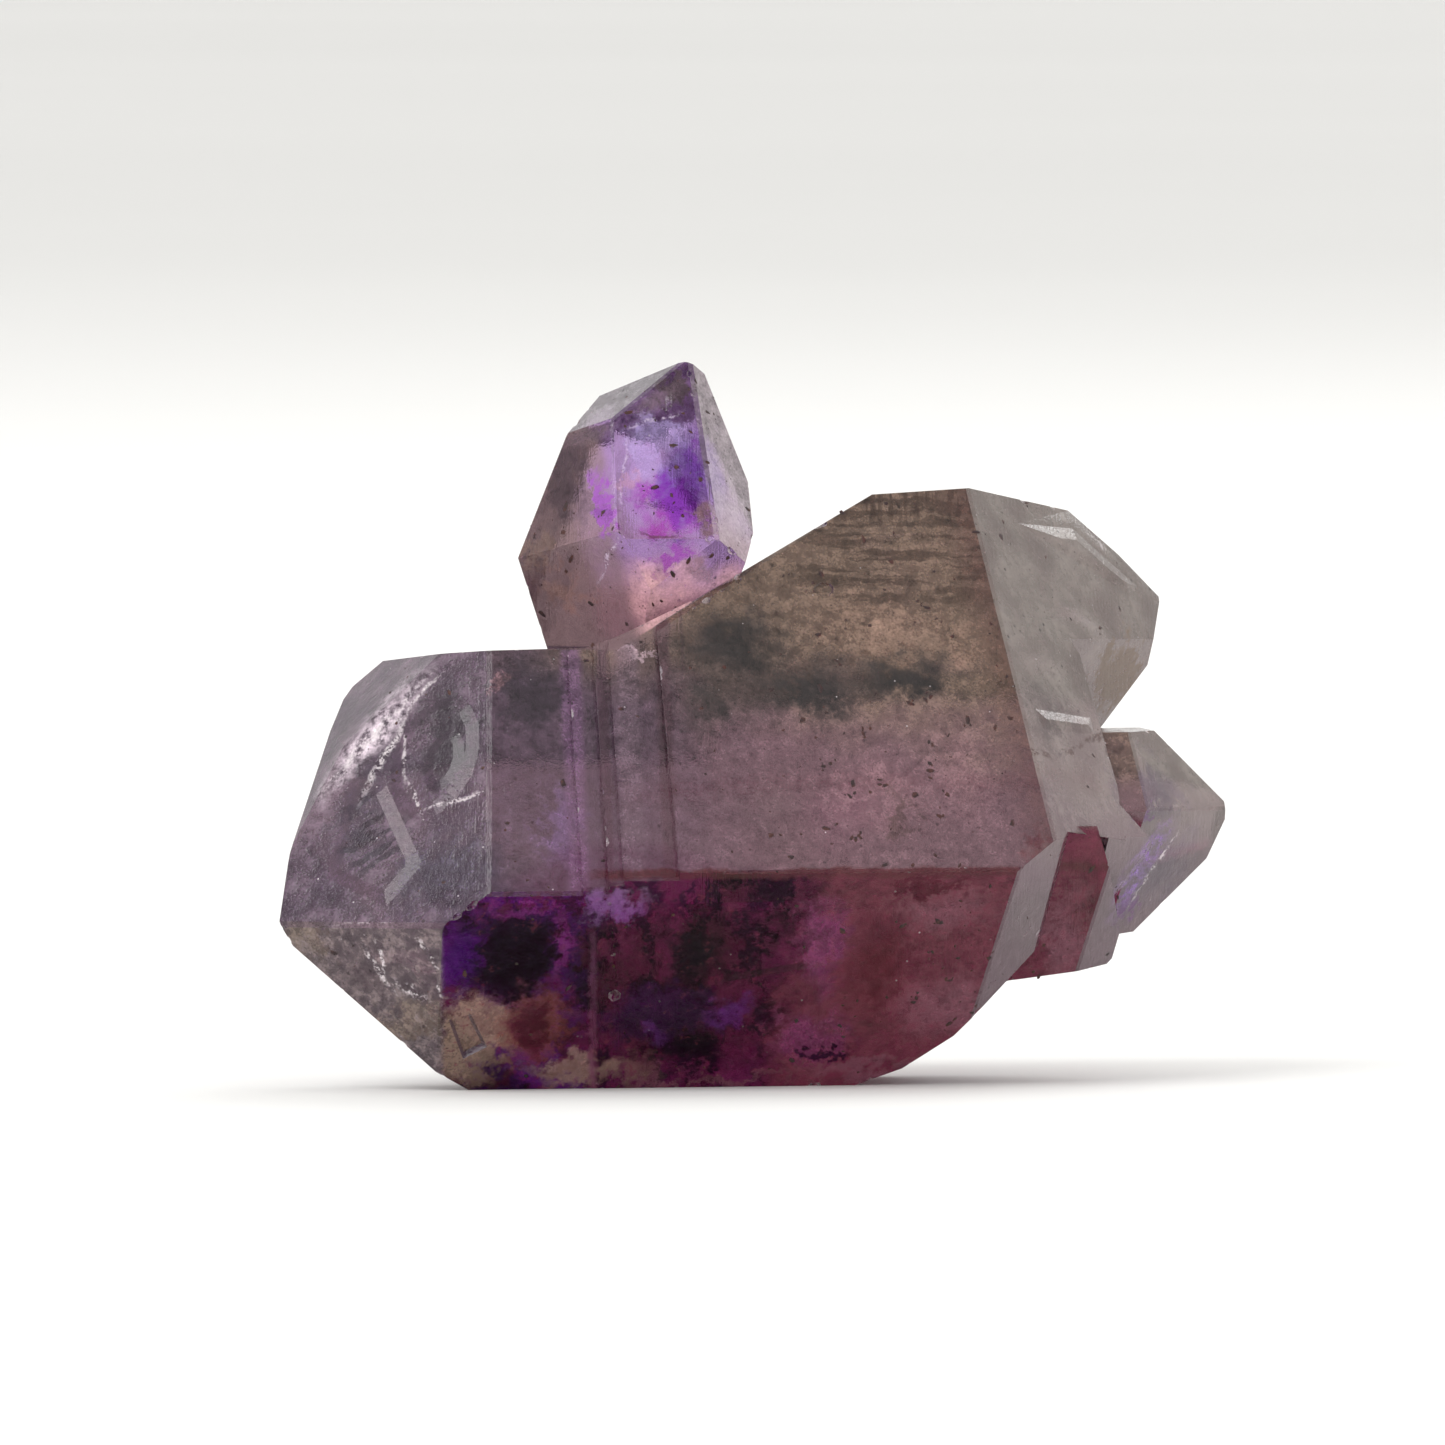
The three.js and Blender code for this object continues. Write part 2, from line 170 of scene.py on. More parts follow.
edges = [
    e for e in turning_edges(plain)
    if min(face.calc_area() for face in e.link_faces) > CHIPPED_FACE
]
print("edges that can be chipped:", len(edges))
pebbles = finished(chip_pebbles(edges, CHIP_COUNT, CHIP_SEED), "chip_pebbles")
stone = finished(stone_mesh, "smoky_amethyst_stone")
cut = stone.modifiers.new("chips", "BOOLEAN")
cut.operation, cut.object, cut.solver = "DIFFERENCE", pebbles, "EXACT"
cut.use_self = True
bpy.context.view_layer.update()
seen_now = bpy.context.evaluated_depsgraph_get()
chipped = bpy.data.meshes.new_from_object(stone.evaluated_get(seen_now))
stone.modifiers.clear()
stone.data = chipped
bpy.data.objects.remove(pebbles)
check = bmesh.new()
check.from_mesh(stone.data)
open_edges = sum(len(e.link_faces) != 2 for e in check.edges)
volume = check.calc_volume() / MM ** 3
print("faces:", len(check.faces), "open edges:", open_edges, "volume in mm3:", round(volume))
check.free()
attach(stone, "root")
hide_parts("crystal_cluster")

# %% [markdown]
# ## A short way to write materials
# A material in Blender is a net of nodes. It could be built in the editor, or with long
# lists of links. Here a socket is wrapped in a small class, so that sums on masks read
# like sums: `1 - mask * 0.5` adds the Math nodes by itself. Every other node comes from
# one method, which sets the node's settings first and then its sockets.


# %% Sockets that can be added and multiplied
class Wire:
    """An output socket of a material, with the arithmetic that masks need."""

    def __init__(self, look, socket):
        self.look, self.socket = look, socket

    def math(self, operation, first, second):
        return self.look.math(operation, first, second)

    def __add__(self, other):
        return self.math("ADD", self, other)

    def __radd__(self, other):
        return self.math("ADD", other, self)

    def __sub__(self, other):
        return self.math("SUBTRACT", self, other)

    def __rsub__(self, other):
        return self.math("SUBTRACT", other, self)

    def __mul__(self, other):
        return self.math("MULTIPLY", self, other)

    def __rmul__(self, other):
        return self.math("MULTIPLY", other, self)

    def lower(self, other):
        return self.math("MINIMUM", self, other)

    def higher(self, other):
        return self.math("MAXIMUM", self, other)


class Look:
    """A material, and short names for the nodes that it is made of."""

    def __init__(self, name):
        self.material = bpy.data.materials.new(name)
        self.material.use_nodes = True
        self.tree = self.material.node_tree
        self.tree.nodes.clear()

    def node(self, kind, settings=None, sockets=None, output=0):
        made = self.tree.nodes.new(kind)
        for name, value in (settings or {}).items():
            setattr(made, name, value)
        for name, value in (sockets or {}).items():
            if isinstance(value, Wire):
                self.tree.links.new(value.socket, made.inputs[name])
            else:
                made.inputs[name].default_value = value
        return Wire(self, made.outputs[output]) if made.outputs else None

    def done(self, surface=None, volume=None):
        """The finished material, from what its surface and its inside do to light."""
        parts = {"Surface": surface, "Volume": volume}
        used = {name: part for name, part in parts.items() if part is not None}
        self.node("ShaderNodeOutputMaterial", {}, used)
        return self.material

    def math(self, operation, first, second=None):
        sockets = {0: first} if second is None else {0: first, 1: second}
        return self.node("ShaderNodeMath", {"operation": operation}, sockets)

    def place(self):
        """Where a point lies on the object, in millimetres."""
        metres = self.node("ShaderNodeTexCoord", output="Object")
        return self.vector("SCALE", metres, scale=1 / MM)

    def facing(self):
        """The direction that the flat face itself looks in."""
        return self.node("ShaderNodeNewGeometry", output="True Normal")

    def vector(self, operation, first, second=None, scale=None):
        sockets = {0: first}
        if second is not None:
            sockets[1] = second
        if scale is not None:
            sockets["Scale"] = scale
        output = "Value" if operation in ("LENGTH", "DISTANCE", "DOT_PRODUCT") else "Vector"
        return self.node("ShaderNodeVectorMath", {"operation": operation}, sockets, output)

    def parts(self, vector):
        """The three numbers of a vector."""
        outputs = self.node("ShaderNodeSeparateXYZ", sockets={0: vector}).socket.node.outputs
        return [Wire(self, output) for output in outputs]

    def rise(self, value, low, high, top=1.0):
        """0 up to low, top from high on, and a soft way between. It falls if high is lower."""
        settings = {"interpolation_type": "SMOOTHSTEP"}
        sockets = {"Value": value, "From Min": low, "From Max": high, "To Max": top}
        return self.node("ShaderNodeMapRange", settings, sockets)

    def noise(self, at, scale, detail=3.0, roughness=0.55, distortion=0.0, output=0):
        sockets = {"Vector": at, "Scale": scale, "Detail": detail}
        sockets.update({"Roughness": roughness, "Distortion": distortion})
        return self.node("ShaderNodeTexNoise", {}, sockets, output)

    def mixed(self, mask, first, second):
        """The first colour where the mask is 0 and the second where it is 1."""
        return self.node(
            "ShaderNodeMix", {"data_type": "RGBA"}, {0: mask, 6: first, 7: second}, 2
        )

    def blend(self, mask, first, second):
        """The first shader where the mask is 0 and the second where it is 1."""
        return self.node("ShaderNodeMixShader", {}, {0: mask, 1: first, 2: second})

    def between(self, mask, first, second):
        """The first value where the mask is 0 and the second where it is 1."""
        return self.node("ShaderNodeMix", {"data_type": "FLOAT"}, {0: mask, 2: first, 3: second})

    def scaled(self, colour, value):
        return self.vector("SCALE", colour, scale=value)

    def blob(self, at, middle, half, soft=0.5, top=1.0):
        """A soft patch about a middle, with its three half sizes in millimetres."""
        sizes = tuple(1 / size for size in half)
        shift = tuple(-place / size for place, size in zip(middle, half))
        share = self.node(
            "ShaderNodeVectorMath", {"operation": "MULTIPLY_ADD"}, {0: at, 1: sizes, 2: shift}
        )
        return self.rise(self.vector("LENGTH", share), 1.0, 1.0 - soft, top)

    def stroke(self, at, start, end, half, soft=0.5, top=1.0):
        """A tapered stroke between two points x, z in millimetres, seen from the front."""
        run, climb = end[0] - start[0], end[1] - start[1]
        length = math.hypot(run, climb)
        along = (run / length / (length / 2), 0, climb / length / (length / 2))
        aside = (-climb / length / half, 0, run / length / half)
        middle = Vector(((start[0] + end[0]) / 2, 0, (start[1] + end[1]) / 2))
        share = self.node(
            "ShaderNodeCombineXYZ", {},
            {0: self.vector("DOT_PRODUCT", at, along), 1: self.vector("DOT_PRODUCT", at, aside)},
        )
        goal = (middle.dot(Vector(along)), middle.dot(Vector(aside)), 0)
        away = self.vector("DISTANCE", share, goal)
        return self.rise(away, 1.0, 1.0 - soft, top)

    def highest(self, masks):
        """The highest of several masks at each place."""
        made = masks[0]
        for mask in masks[1:]:
            made = made.higher(mask)
        return made

    def cells(self, at, scale):
        """The distance to the nearest of scattered points, and that point's own colour."""
        near = self.node("ShaderNodeTexVoronoi", {}, {0: at, "Scale": scale}, "Distance")
        return near, Wire(self, near.socket.node.outputs["Color"])


def srgb(red, green, blue):
    """A colour as a screen shows it, from 0 to 255, in the linear values of a shader."""
    def straight(value):
        share = value / 255
        return share / 12.92 if share <= 0.04045 else ((share + 0.055) / 1.055) ** 2.4
    return (straight(red), straight(green), straight(blue), 1.0)


print("arithmetic on sockets is ready")

# %% [markdown]
# ## Where the colours lie
# The long upper face is smoky brown to the right, mauve lower down and purple grey to the
# left, with darker smoke drifting through it. The long lower face looks into the deep
# violet heart. The ends are covered in fine growth lines and are pale grey; on the right
# end this pale grey is partly a painted reflection. The small point on top is bright
# violet. The colours could be painted on an image, but an image slides off a shape and
# can't be scaled. Soft patches in the stone's own millimetres stay where they are, from
# every side. Each patch says what it does to the clear part of the crystal, to its cloudy
# part, and how cloudy the place is.

# %% Colours of the crystal
BROWN = srgb(128, 106, 92)
DARK_BROWN = srgb(72, 54, 44)
PEACH = srgb(160, 130, 114)
MAUVE = srgb(112, 84, 92)
PURPLE_GREY = srgb(90, 69, 86)
BLUE_GREY = srgb(54, 45, 64)
SMOKE = srgb(26, 20, 22)
RUST = srgb(74, 24, 20)
PALE_GREY = srgb(143, 132, 126)
WARM_GREY = srgb(122, 108, 104)
ROSE_GREY = srgb(112, 90, 98)
BEIGE = srgb(150, 124, 108)
PINK = srgb(186, 140, 150)
VIOLET = srgb(122, 30, 144)
DEEP_VIOLET = srgb(58, 8, 84)
LILAC_GREY = srgb(94, 80, 92)
FROST = srgb(218, 208, 212)
CRIMSON = srgb(78, 8, 40)
BLACK_VIOLET = srgb(14, 1, 20)

# What a clear place lets through, as the colour of the glass there.
SMOKY_GLASS = (0.60, 0.44, 0.44, 1.0)
DARK_GLASS = (0.14, 0.10, 0.10, 1.0)
RED_GLASS = (0.42, 0.004, 0.07, 1.0)
CRIMSON_GLASS = (0.34, 0.003, 0.16, 1.0)
BLACK_GLASS = (0.02, 0.0002, 0.03, 1.0)
MAGENTA_GLASS = (0.98, 0.01, 0.62, 1.0)
DEEP_VIOLET_GLASS = (0.20, 0.001, 0.50, 1.0)
BLUE_VIOLET_GLASS = (0.24, 0.001, 0.98, 1.0)
ROSE_GLASS = (0.95, 0.20, 0.38, 1.0)
PEACH_GLASS = (1.0, 0.45, 0.32, 1.0)
LILAC_GLASS = (0.72, 0.52, 0.96, 1.0)
PURPLE_GLASS = (0.62, 0.05, 0.80, 1.0)
PINK_GLASS = (0.95, 0.50, 0.62, 1.0)
CLEAR_GLASS = (0.88, 0.82, 0.84, 1.0)


FRONT_OF_STONE = -8.0


def face_point(x, z, depth=0.0):
    """The point of the stone that is seen from the front at x and z, or one behind it."""
    hit = surface.ray_cast(Vector((x, -60, z)), Vector((0, 1, 0)))[0]
    if hit is None:
        hit = surface.find_nearest(Vector((x, FRONT_OF_STONE, z)))[0]
        print("beside the stone:", (x, z), "moved to", tuple(round(v, 1) for v in hit))
    return hit + Vector((0, depth, 0))


# %% [markdown]
# ## Patches of smoke, violet and rust
# Each part of the stone has its own list of patches, laid over one another as a painter
# lays glazes. They could be painted by hand on each face, but then they would end at the
# edges. Here a patch is a soft body about a point of the face, so it runs round an edge
# as a real colour zone does. A group gives its glass, its cloudy colour, its haze, and its
# patches. A patch is where it is seen from the front, its half width and half height, how
# soft and how strong it is.

# %% Patches of colour
UPPER_PATCHES = [
    (PEACH_GLASS, PEACH, 0.62, [
        ((6.5, 22.9), (5.2, 2.6), 1.0, 0.8), ((10.4, 21.9), (1.8, 1.3), 0.8, 0.7),
    ]),
    (PINK_GLASS, srgb(147, 112, 118), 0.6, [
        ((6.4, 14.9), (4.2, 3.0), 1.0, 0.6), ((10.4, 15.6), (2.6, 3.6), 1.0, 0.6),
    ]),
    (SMOKY_GLASS, srgb(100, 79, 84), 0.6, [((1.2, 14.0), (2.6, 2.4), 0.9, 0.7)]),
    (PINK_GLASS, PINK, 0.5, [((-12.6, 20.5), (1.0, 0.7), 0.7, 0.8)]),
    (LILAC_GLASS, srgb(118, 90, 130), 0.55, [((-9.6, 13.3), (1.3, 2.8), 0.8, 0.7)]),
    (DARK_GLASS, srgb(66, 52, 50), 0.75, [
        ((-0.8, 21.0), (5.6, 4.6), 0.8, 0.75), ((5.4, 20.2), (6.2, 2.4), 0.8, 0.75),
    ]),
    (DARK_GLASS, SMOKE, 0.85, [
        ((-1.2, 22.2), (4.2, 3.0), 0.9, 0.9), ((-2.4, 19.2), (2.2, 2.0), 0.9, 0.8),
        ((2.6, 19.7), (4.6, 1.9), 0.9, 0.95), ((7.6, 20.5), (4.2, 1.9), 0.9, 0.95),
    ]),
    (DARK_GLASS, DARK_BROWN, 0.6, [((7.2, 13.9), (0.6, 1.9), 0.7, 0.6)]),
    (CLEAR_GLASS, srgb(206, 176, 186), 0.7, [((-6.4, 21.9), (0.9, 0.5), 0.4, 0.85)]),
    (ROSE_GLASS, RUST, 0.6, [((14.0, 12.4), (1.1, 1.1), 0.7, 0.8)]),
]
LEFT_PATCHES = [
    (DARK_GLASS, BLUE_GREY, 0.75, [
        ((-15.4, 10.9), (5.0, 3.4), 0.8, 0.9), ((-19.4, 12.8), (2.6, 3.0), 0.7, 0.6),
    ]),
    (DARK_GLASS, srgb(42, 29, 42), 0.8, [
        ((-11.2, 19.6), (2.4, 3.0), 0.7, 0.85), ((-15.4, 17.6), (1.9, 4.0), 0.6, 0.85),
    ]),
]
LOW_LEFT_PATCHES = [
    (SMOKY_GLASS, srgb(98, 82, 88), 0.6, [((-19.6, 5.6), (3.0, 1.6), 0.8, 0.6)]),
    (PEACH_GLASS, srgb(142, 124, 108), 0.6, [
        ((-17.0, 3.4), (2.4, 1.2), 0.8, 0.6), ((-18.0, 2.8), (2.4, 0.7), 0.7, 0.6),
        ((-22.4, 8.0), (1.2, 2.2), 0.8, 0.6),
    ]),
]
LOWER_PATCHES = [
    (CRIMSON_GLASS, srgb(140, 60, 108), 0.5, [
        ((3.1, 7.4), (1.7, 3.6), 0.8, 0.9), ((2.6, 2.6), (2.6, 2.0), 0.8, 0.85),
    ]),
    (RED_GLASS, srgb(84, 18, 28), 0.35, [
        ((6.3, 6.4), (2.3, 3.0), 0.8, 0.8), ((8.4, 10.4), (2.4, 0.5), 0.6, 0.85),
    ]),
    (ROSE_GLASS, srgb(132, 80, 94), 0.6, [
        ((10.0, 3.8), (3.8, 2.6), 0.8, 0.8), ((9.4, 9.0), (3.4, 1.4), 0.8, 0.6),
        ((15.6, 7.2), (1.7, 3.6), 0.7, 0.8),
    ]),
    (CRIMSON_GLASS, srgb(118, 14, 74), 0.35, [
        ((-4.3, 7.2), (0.7, 2.6), 0.8, 0.9), ((0.9, 7.4), (0.9, 2.8), 0.8, 0.8),
        ((-1.0, 5.0), (2.0, 1.0), 0.8, 0.5), ((-1.6, 0.9), (2.6, 0.6), 0.8, 0.9),
        ((-6.8, 7.2), (1.0, 1.6), 0.8, 0.6),
    ]),
    (BLACK_GLASS, srgb(34, 0, 22), 0.2, [((-2.8, 7.0), (2.2, 1.9), 0.8, 0.9)]),
    (DEEP_VIOLET_GLASS, srgb(48, 2, 54), 0.25, [((-4.6, 3.8), (4.2, 1.9), 0.7, 0.92)]),
    (PURPLE_GLASS, srgb(104, 24, 140), 0.4, [
        ((-1.4, 3.9), (1.8, 0.9), 0.9, 0.85), ((-4.8, 2.4), (1.1, 0.8), 0.8, 0.8),
    ]),
    (BLACK_GLASS, BLACK_VIOLET, 0.08, [
        ((-3.2, 1.9), (2.6, 1.2), 0.6, 0.95), ((-12.2, 6.9), (2.4, 3.1), 0.35, 0.97),
        ((3.6, 2.0), (1.8, 0.5), 0.5, 0.95),
    ]),
    (BLUE_VIOLET_GLASS, VIOLET, 0.12, [((-15.0, 7.0), (1.2, 2.2), 0.5, 0.97)]),
    (MAGENTA_GLASS, srgb(118, 34, 130), 0.3, [
        ((-9.7, 7.0), (0.6, 2.8), 0.7, 0.95), ((-11.8, 9.2), (2.4, 0.7), 0.7, 0.9),
    ]),
    (LILAC_GLASS, srgb(140, 84, 160), 0.45, [((-7.2, 9.4), (1.9, 1.0), 0.6, 0.9)]),
    (PEACH_GLASS, BEIGE, 0.6, [
        ((-14.2, 2.8), (2.6, 2.8), 0.55, 0.95), ((-8.6, 0.9), (4.2, 1.0), 0.7, 0.8),
    ]),
    (RED_GLASS, srgb(136, 74, 54), 0.55, [((-11.2, 3.2), (2.6, 2.3), 0.6, 0.85)]),
    (RED_GLASS, srgb(34, 8, 8), 0.25, [((-11.2, 3.1), (1.5, 1.5), 0.6, 0.95)]),
    (ROSE_GLASS, srgb(124, 70, 88), 0.5, [
        ((-3.0, 0.3), (6.0, 0.4), 0.6, 0.6), ((5.6, 0.7), (4.6, 0.9), 0.7, 0.7),
    ]),
]
RIGHT_PATCHES = [
    (PEACH_GLASS, srgb(108, 88, 72), 0.9, [((18.3, 19.9), (1.7, 2.2), 0.4, 0.95)]),
    (SMOKY_GLASS, srgb(82, 72, 70), 0.8, [((14.7, 18.6), (2.2, 2.6), 0.9, 0.9)]),
    (SMOKY_GLASS, srgb(116, 100, 103), 0.7, [
        ((14.6, 14.2), (2.2, 2.0), 0.9, 0.8), ((13.6, 8.6), (1.4, 3.0), 0.8, 0.5),
    ]),
    (LILAC_GLASS, LILAC_GREY, 0.7, [
        ((19.8, 14.6), (2.8, 2.0), 0.8, 0.85), ((20.4, 10.6), (2.8, 3.0), 0.8, 0.85),
    ]),
    (PURPLE_GLASS, srgb(116, 68, 138), 0.5, [
        ((19.7, 13.6), (0.5, 0.4), 0.7, 0.8), ((18.4, 8.8), (1.2, 1.2), 0.7, 0.8),
    ]),
]
POINT_PATCHES = [
    (LILAC_GLASS, srgb(176, 154, 212), 0.4, [
        ((-4.9, 32.7), (1.9, 1.3), 0.6, 0.9), ((-5.3, 31.4), (1.3, 1.8), 0.6, 0.95),
    ]),
    (PINK_GLASS, srgb(196, 150, 182), 0.45, [((-5.9, 30.0), (0.8, 1.0), 0.6, 0.7)]),
    (PURPLE_GLASS, srgb(136, 88, 184), 0.25, [
        ((-3.2, 31.2), (0.8, 1.8), 0.6, 0.85), ((-7.7, 29.2), (0.8, 2.0), 0.5, 0.9),
    ]),
    (PURPLE_GLASS, VIOLET, 0.06, [
        ((-4.0, 28.9), (2.5, 1.7), 0.6, 0.97), ((-4.4, 26.4), (1.1, 1.1), 0.6, 0.9),
    ]),
    (DARK_GLASS, srgb(84, 64, 74), 0.5, [
        ((-9.5, 30.2), (1.6, 2.8), 0.6, 0.9), ((-4.0, 35.0), (1.7, 0.9), 0.6, 0.95),
    ]),
    (SMOKY_GLASS, srgb(116, 82, 80), 0.65, [
        ((-2.2, 28.2), (0.8, 1.2), 0.6, 0.9), ((-2.4, 26.0), (1.6, 0.9), 0.8, 0.7),
    ]),
    (PEACH_GLASS, srgb(140, 114, 106), 0.55, [
        ((-10.9, 27.0), (1.2, 1.4), 0.6, 0.8), ((-9.4, 24.6), (1.4, 1.2), 0.7, 0.7),
    ]),
]
# The back isn't seen from the front, so here each middle has all its three numbers.
BACK_PATCHES = [
    (SMOKY_GLASS, BROWN, 0.6, [((9.0, 12.0, 15.0), (5.0, 4.0), 0.9, 0.6)]),
    (CRIMSON_GLASS, CRIMSON, 0.1, [((2.0, 11.0, 9.0), (4.0, 3.0), 0.9, 0.8)]),
    (DARK_GLASS, SMOKE, 0.5, [((-5.0, 9.0, 17.0), (3.0, 3.0), 0.9, 0.8)]),
    (DEEP_VIOLET_GLASS, DEEP_VIOLET, 0.15, [((-12.0, 6.0, 8.0), (4.0, 3.6), 0.9, 0.8)]),
    (PEACH_GLASS, BEIGE, 0.5, [((8.0, 9.0, 24.0), (4.0, 2.6), 0.9, 0.7)]),
]
print("groups of patches on the lower front face:", len(LOWER_PATCHES))

# %% [markdown]
# ## Healed cracks, stains and painted highlights
# Cracks in quartz heal again and leave white veils, and a brown stain follows the joint on
# the grey end. They could be modelled as thin sheets inside, which costs much light. Here
# each is a tapered stroke in the colour and the haze, later broken up by noise. Painted
# highlights are drawn as white strokes in the same way: a band and its core along the
# upper left edge, streaks on the lower left steps, and lines on the small point. A group
# gives its cloudy colour, its haze and its strokes. A stroke is its two ends as seen from
# the front, its half width, how soft and how strong it is.

# %% Strokes of cracks, stains and painted highlights
# A painted highlight: a wide bright band along the upper left edge.
LEFT_EDGE_HIGHLIGHT = [
    (srgb(226, 208, 220), 0.85, [((-15.4, 22.0), (-22.6, 13.4), 1.0, 0.95, 0.95)]),
]
# Cracks and a dark line. The first two white strokes are painted highlights along the upper left
# edge.
LEFT_CRACKS_AND_HIGHLIGHTS = [
    (FROST, 0.75, [
        ((-15.6, 21.4), (-22.4, 14.0), 0.26, 0.8, 0.9),
        ((-14.8, 21.6), (-19.0, 17.2), 0.14, 0.8, 0.6),
        ((-16.8, 19.6), (-20.2, 13.6), 0.24, 0.8, 0.85),
        ((-17.6, 18.6), (-17.4, 14.9), 0.13, 0.8, 0.6),
        ((-17.5, 15.8), (-16.3, 13.4), 0.14, 0.8, 0.8),
        ((-17.0, 13.8), (-13.1, 15.2), 0.17, 0.8, 0.8),
    ]),
    (srgb(52, 42, 54), 0.6, [((-12.9, 22.6), (-12.9, 8.6), 0.14, 0.8, 0.6)]),
]
# Painted highlights: white streaks on the steps of the lower left end.
LOW_LEFT_HIGHLIGHTS = [
    (FROST, 0.85, [
        ((-19.8, 7.8), (-17.7, 4.5), 0.18, 0.8, 0.95), ((-19.0, 7.9), (-18.2, 5.5), 0.13, 0.8, 0.9),
        ((-18.3, 5.8), (-16.0, 4.3), 0.42, 0.9, 0.9), ((-17.1, 8.1), (-15.5, 5.9), 0.16, 0.8, 0.9),
        ((-15.9, 5.9), (-15.5, 4.0), 0.13, 0.8, 0.8), ((-22.0, 8.2), (-17.0, 8.7), 0.12, 0.8, 0.6),
    ]),
]
RIGHT_STROKES = [
    (srgb(162, 118, 204), 0.45, [((21.4, 13.8), (17.4, 7.6), 0.75, 0.8, 0.95)]),
    (FROST, 0.8, [
        ((21.8, 13.2), (18.5, 8.2), 0.13, 0.8, 0.9), ((16.6, 27.7), (17.7, 26.2), 0.13, 0.8, 0.8),
        ((19.5, 25.2), (20.5, 24.0), 0.15, 0.8, 0.8),
    ]),
    (srgb(84, 58, 62), 0.6, [((17.6, 16.9), (20.0, 13.3), 0.18, 0.8, 0.8)]),
]
SUTURE = [
    (srgb(70, 42, 30), 0.8, [
        ((13.2, 16.9), (15.4, 16.3), 0.24, 0.6, 0.9), ((14.6, 16.2), (16.9, 17.1), 0.24, 0.6, 0.9),
        ((16.2, 16.9), (18.2, 17.6), 0.24, 0.6, 0.9),
    ]),
]
POINT_BANDS = [
    (srgb(92, 72, 84), 0.85, [
        ((-10.2, 31.8), (-6.0, 33.5), 0.6, 0.8, 0.9), ((-7.2, 33.0), (-2.9, 35.4), 0.8, 0.8, 0.9),
    ]),
    (srgb(84, 24, 62), 0.85, [((-6.8, 28.0), (-2.6, 27.2), 0.16, 0.8, 0.95)]),
]
# Painted highlights: white lines on the small point.
POINT_HIGHLIGHTS = [
    (srgb(222, 206, 228), 0.6, [
        ((-7.1, 32.7), (-2.9, 34.0), 0.13, 0.8, 0.7), ((-6.5, 28.2), (-8.1, 24.6), 0.15, 0.8, 0.7),
        ((-6.2, 33.4), (-6.9, 27.6), 0.13, 0.8, 0.6),
    ]),
]
print("strokes on the left end:", sum(len(strokes) for _, _, strokes in LEFT_CRACKS_AND_HIGHLIGHTS))

# %% [markdown]
# ## The amethyst itself
# Real amethyst is clear quartz, IOR 1.544, that takes more green than red or blue out of
# the light on the way through. That part is a Principled shader with full transmission
# and a Volume Absorption of one colour. Smoke, tiny bubbles and growth lines make it
# hazy in places, which a second, cloudy shader stands for. A mask mixes the two: the
# lower front and the small point are the clearest, and the ends are the haziest. One pair
# of shaders with all the patches would be slow, because each ray would work out every
# patch of the stone. So each part of the stone has a pair of its own, and Mix Shaders
# choose the part by where a face looks and where it lies.

# %% Layers of glass, colour and haze
IOR_OF_QUARTZ = 1.544
DIM_GLINT = (0.05, 0.05, 0.05, 1.0)
AMETHYST_KEEPS = (0.30, 0.0, 0.22, 1.0)
AMETHYST_DENSITY = 60.0
RELIEF_STRENGTH = 0.45
RELIEF_DEPTH = 0.07 * MM
PATCH_DEPTH = 5.0
TEAR = 4.8
FRAY = 2.4


class Layers:
    """The three things that vary over the crystal: its glass, its cloudy colour, its haze."""

    def __init__(self, look, glass, cloudy, haze):
        self.look, self.glass, self.cloudy, self.haze = look, glass, cloudy, haze

    def over(self, mask, glass, cloudy, haze):
        """These three again, changed where the mask is 1."""
        look = self.look
        return Layers(
            look, look.mixed(mask, self.glass, glass), look.mixed(mask, self.cloudy, cloudy),
            look.between(mask, self.haze, haze),
        )

    def tinted(self, mask, cloudy, haze=None):
        """The same with only the cloudy colour, and the haze, changed where the mask is 1."""
        look = self.look
        mixed_haze = self.haze if haze is None else look.between(mask, self.haze, haze)
        return Layers(look, self.glass, look.mixed(mask, self.cloudy, cloudy), mixed_haze)

    def patched(self, g, groups):
        """With every group of patches laid over, the last on top."""
        made = self
        for glass, cloudy, haze, patches in groups:
            masks = []
            for middle, (wide, high), soft, strength in patches:
                middle = face_point(*middle) if len(middle) == 2 else middle
                size = (wide, PATCH_DEPTH, high)
                masks.append(self.look.blob(g.torn, middle, size, soft, strength))
            made = made.over(self.look.highest(masks), glass, cloudy, haze)
        return made

    def stroked(self, g, groups, broken):
        """With every group of strokes drawn over, where the broken mask is 1."""
        made = self
        for cloudy, haze, strokes in groups:
            masks = [self.look.stroke(g.near, *stroke) for stroke in strokes]
            made = made.tinted(self.look.highest(masks) * broken, cloudy, haze)
        return made


# %% The noises that tear and mottle the colours
class Grain:
    """The noises that all parts of the crystal share, and where they are read."""

    def __init__(self, look):
        self.at = look.place()
        self.x, self.y, self.z = look.parts(self.at)
        push = look.noise(self.at, 0.55, 5, 0.68, output="Color")
        middle = look.vector("SUBTRACT", push, (0.5, 0.5, 0.5))
        self.fine = look.noise(self.at, 1.5, 4, 0.66)
        frayed = look.vector("SCALE", (1.0, 0.5, -1.0), scale=(self.fine - 0.5) * FRAY)
        pushed = look.vector("ADD", self.at, look.vector("SCALE", middle, scale=TEAR))
        self.torn = look.vector("ADD", pushed, frayed)
        self.near = look.vector("ADD", self.at, middle)
        self.near_z = look.parts(self.near)[2]
        self.coarse = look.noise(self.at, 0.35, 1, 0.6)
        self.grain = look.noise(self.at, 8.0, 1, 0.6)
        brushed = look.vector("MULTIPLY", self.torn, (0.22, 0.5, 2.4))
        self.brush = look.noise(brushed, 1.0, 2, 0.6)
        self.broken = look.rise(self.fine + self.grain * 0.5, 0.66, 0.84)


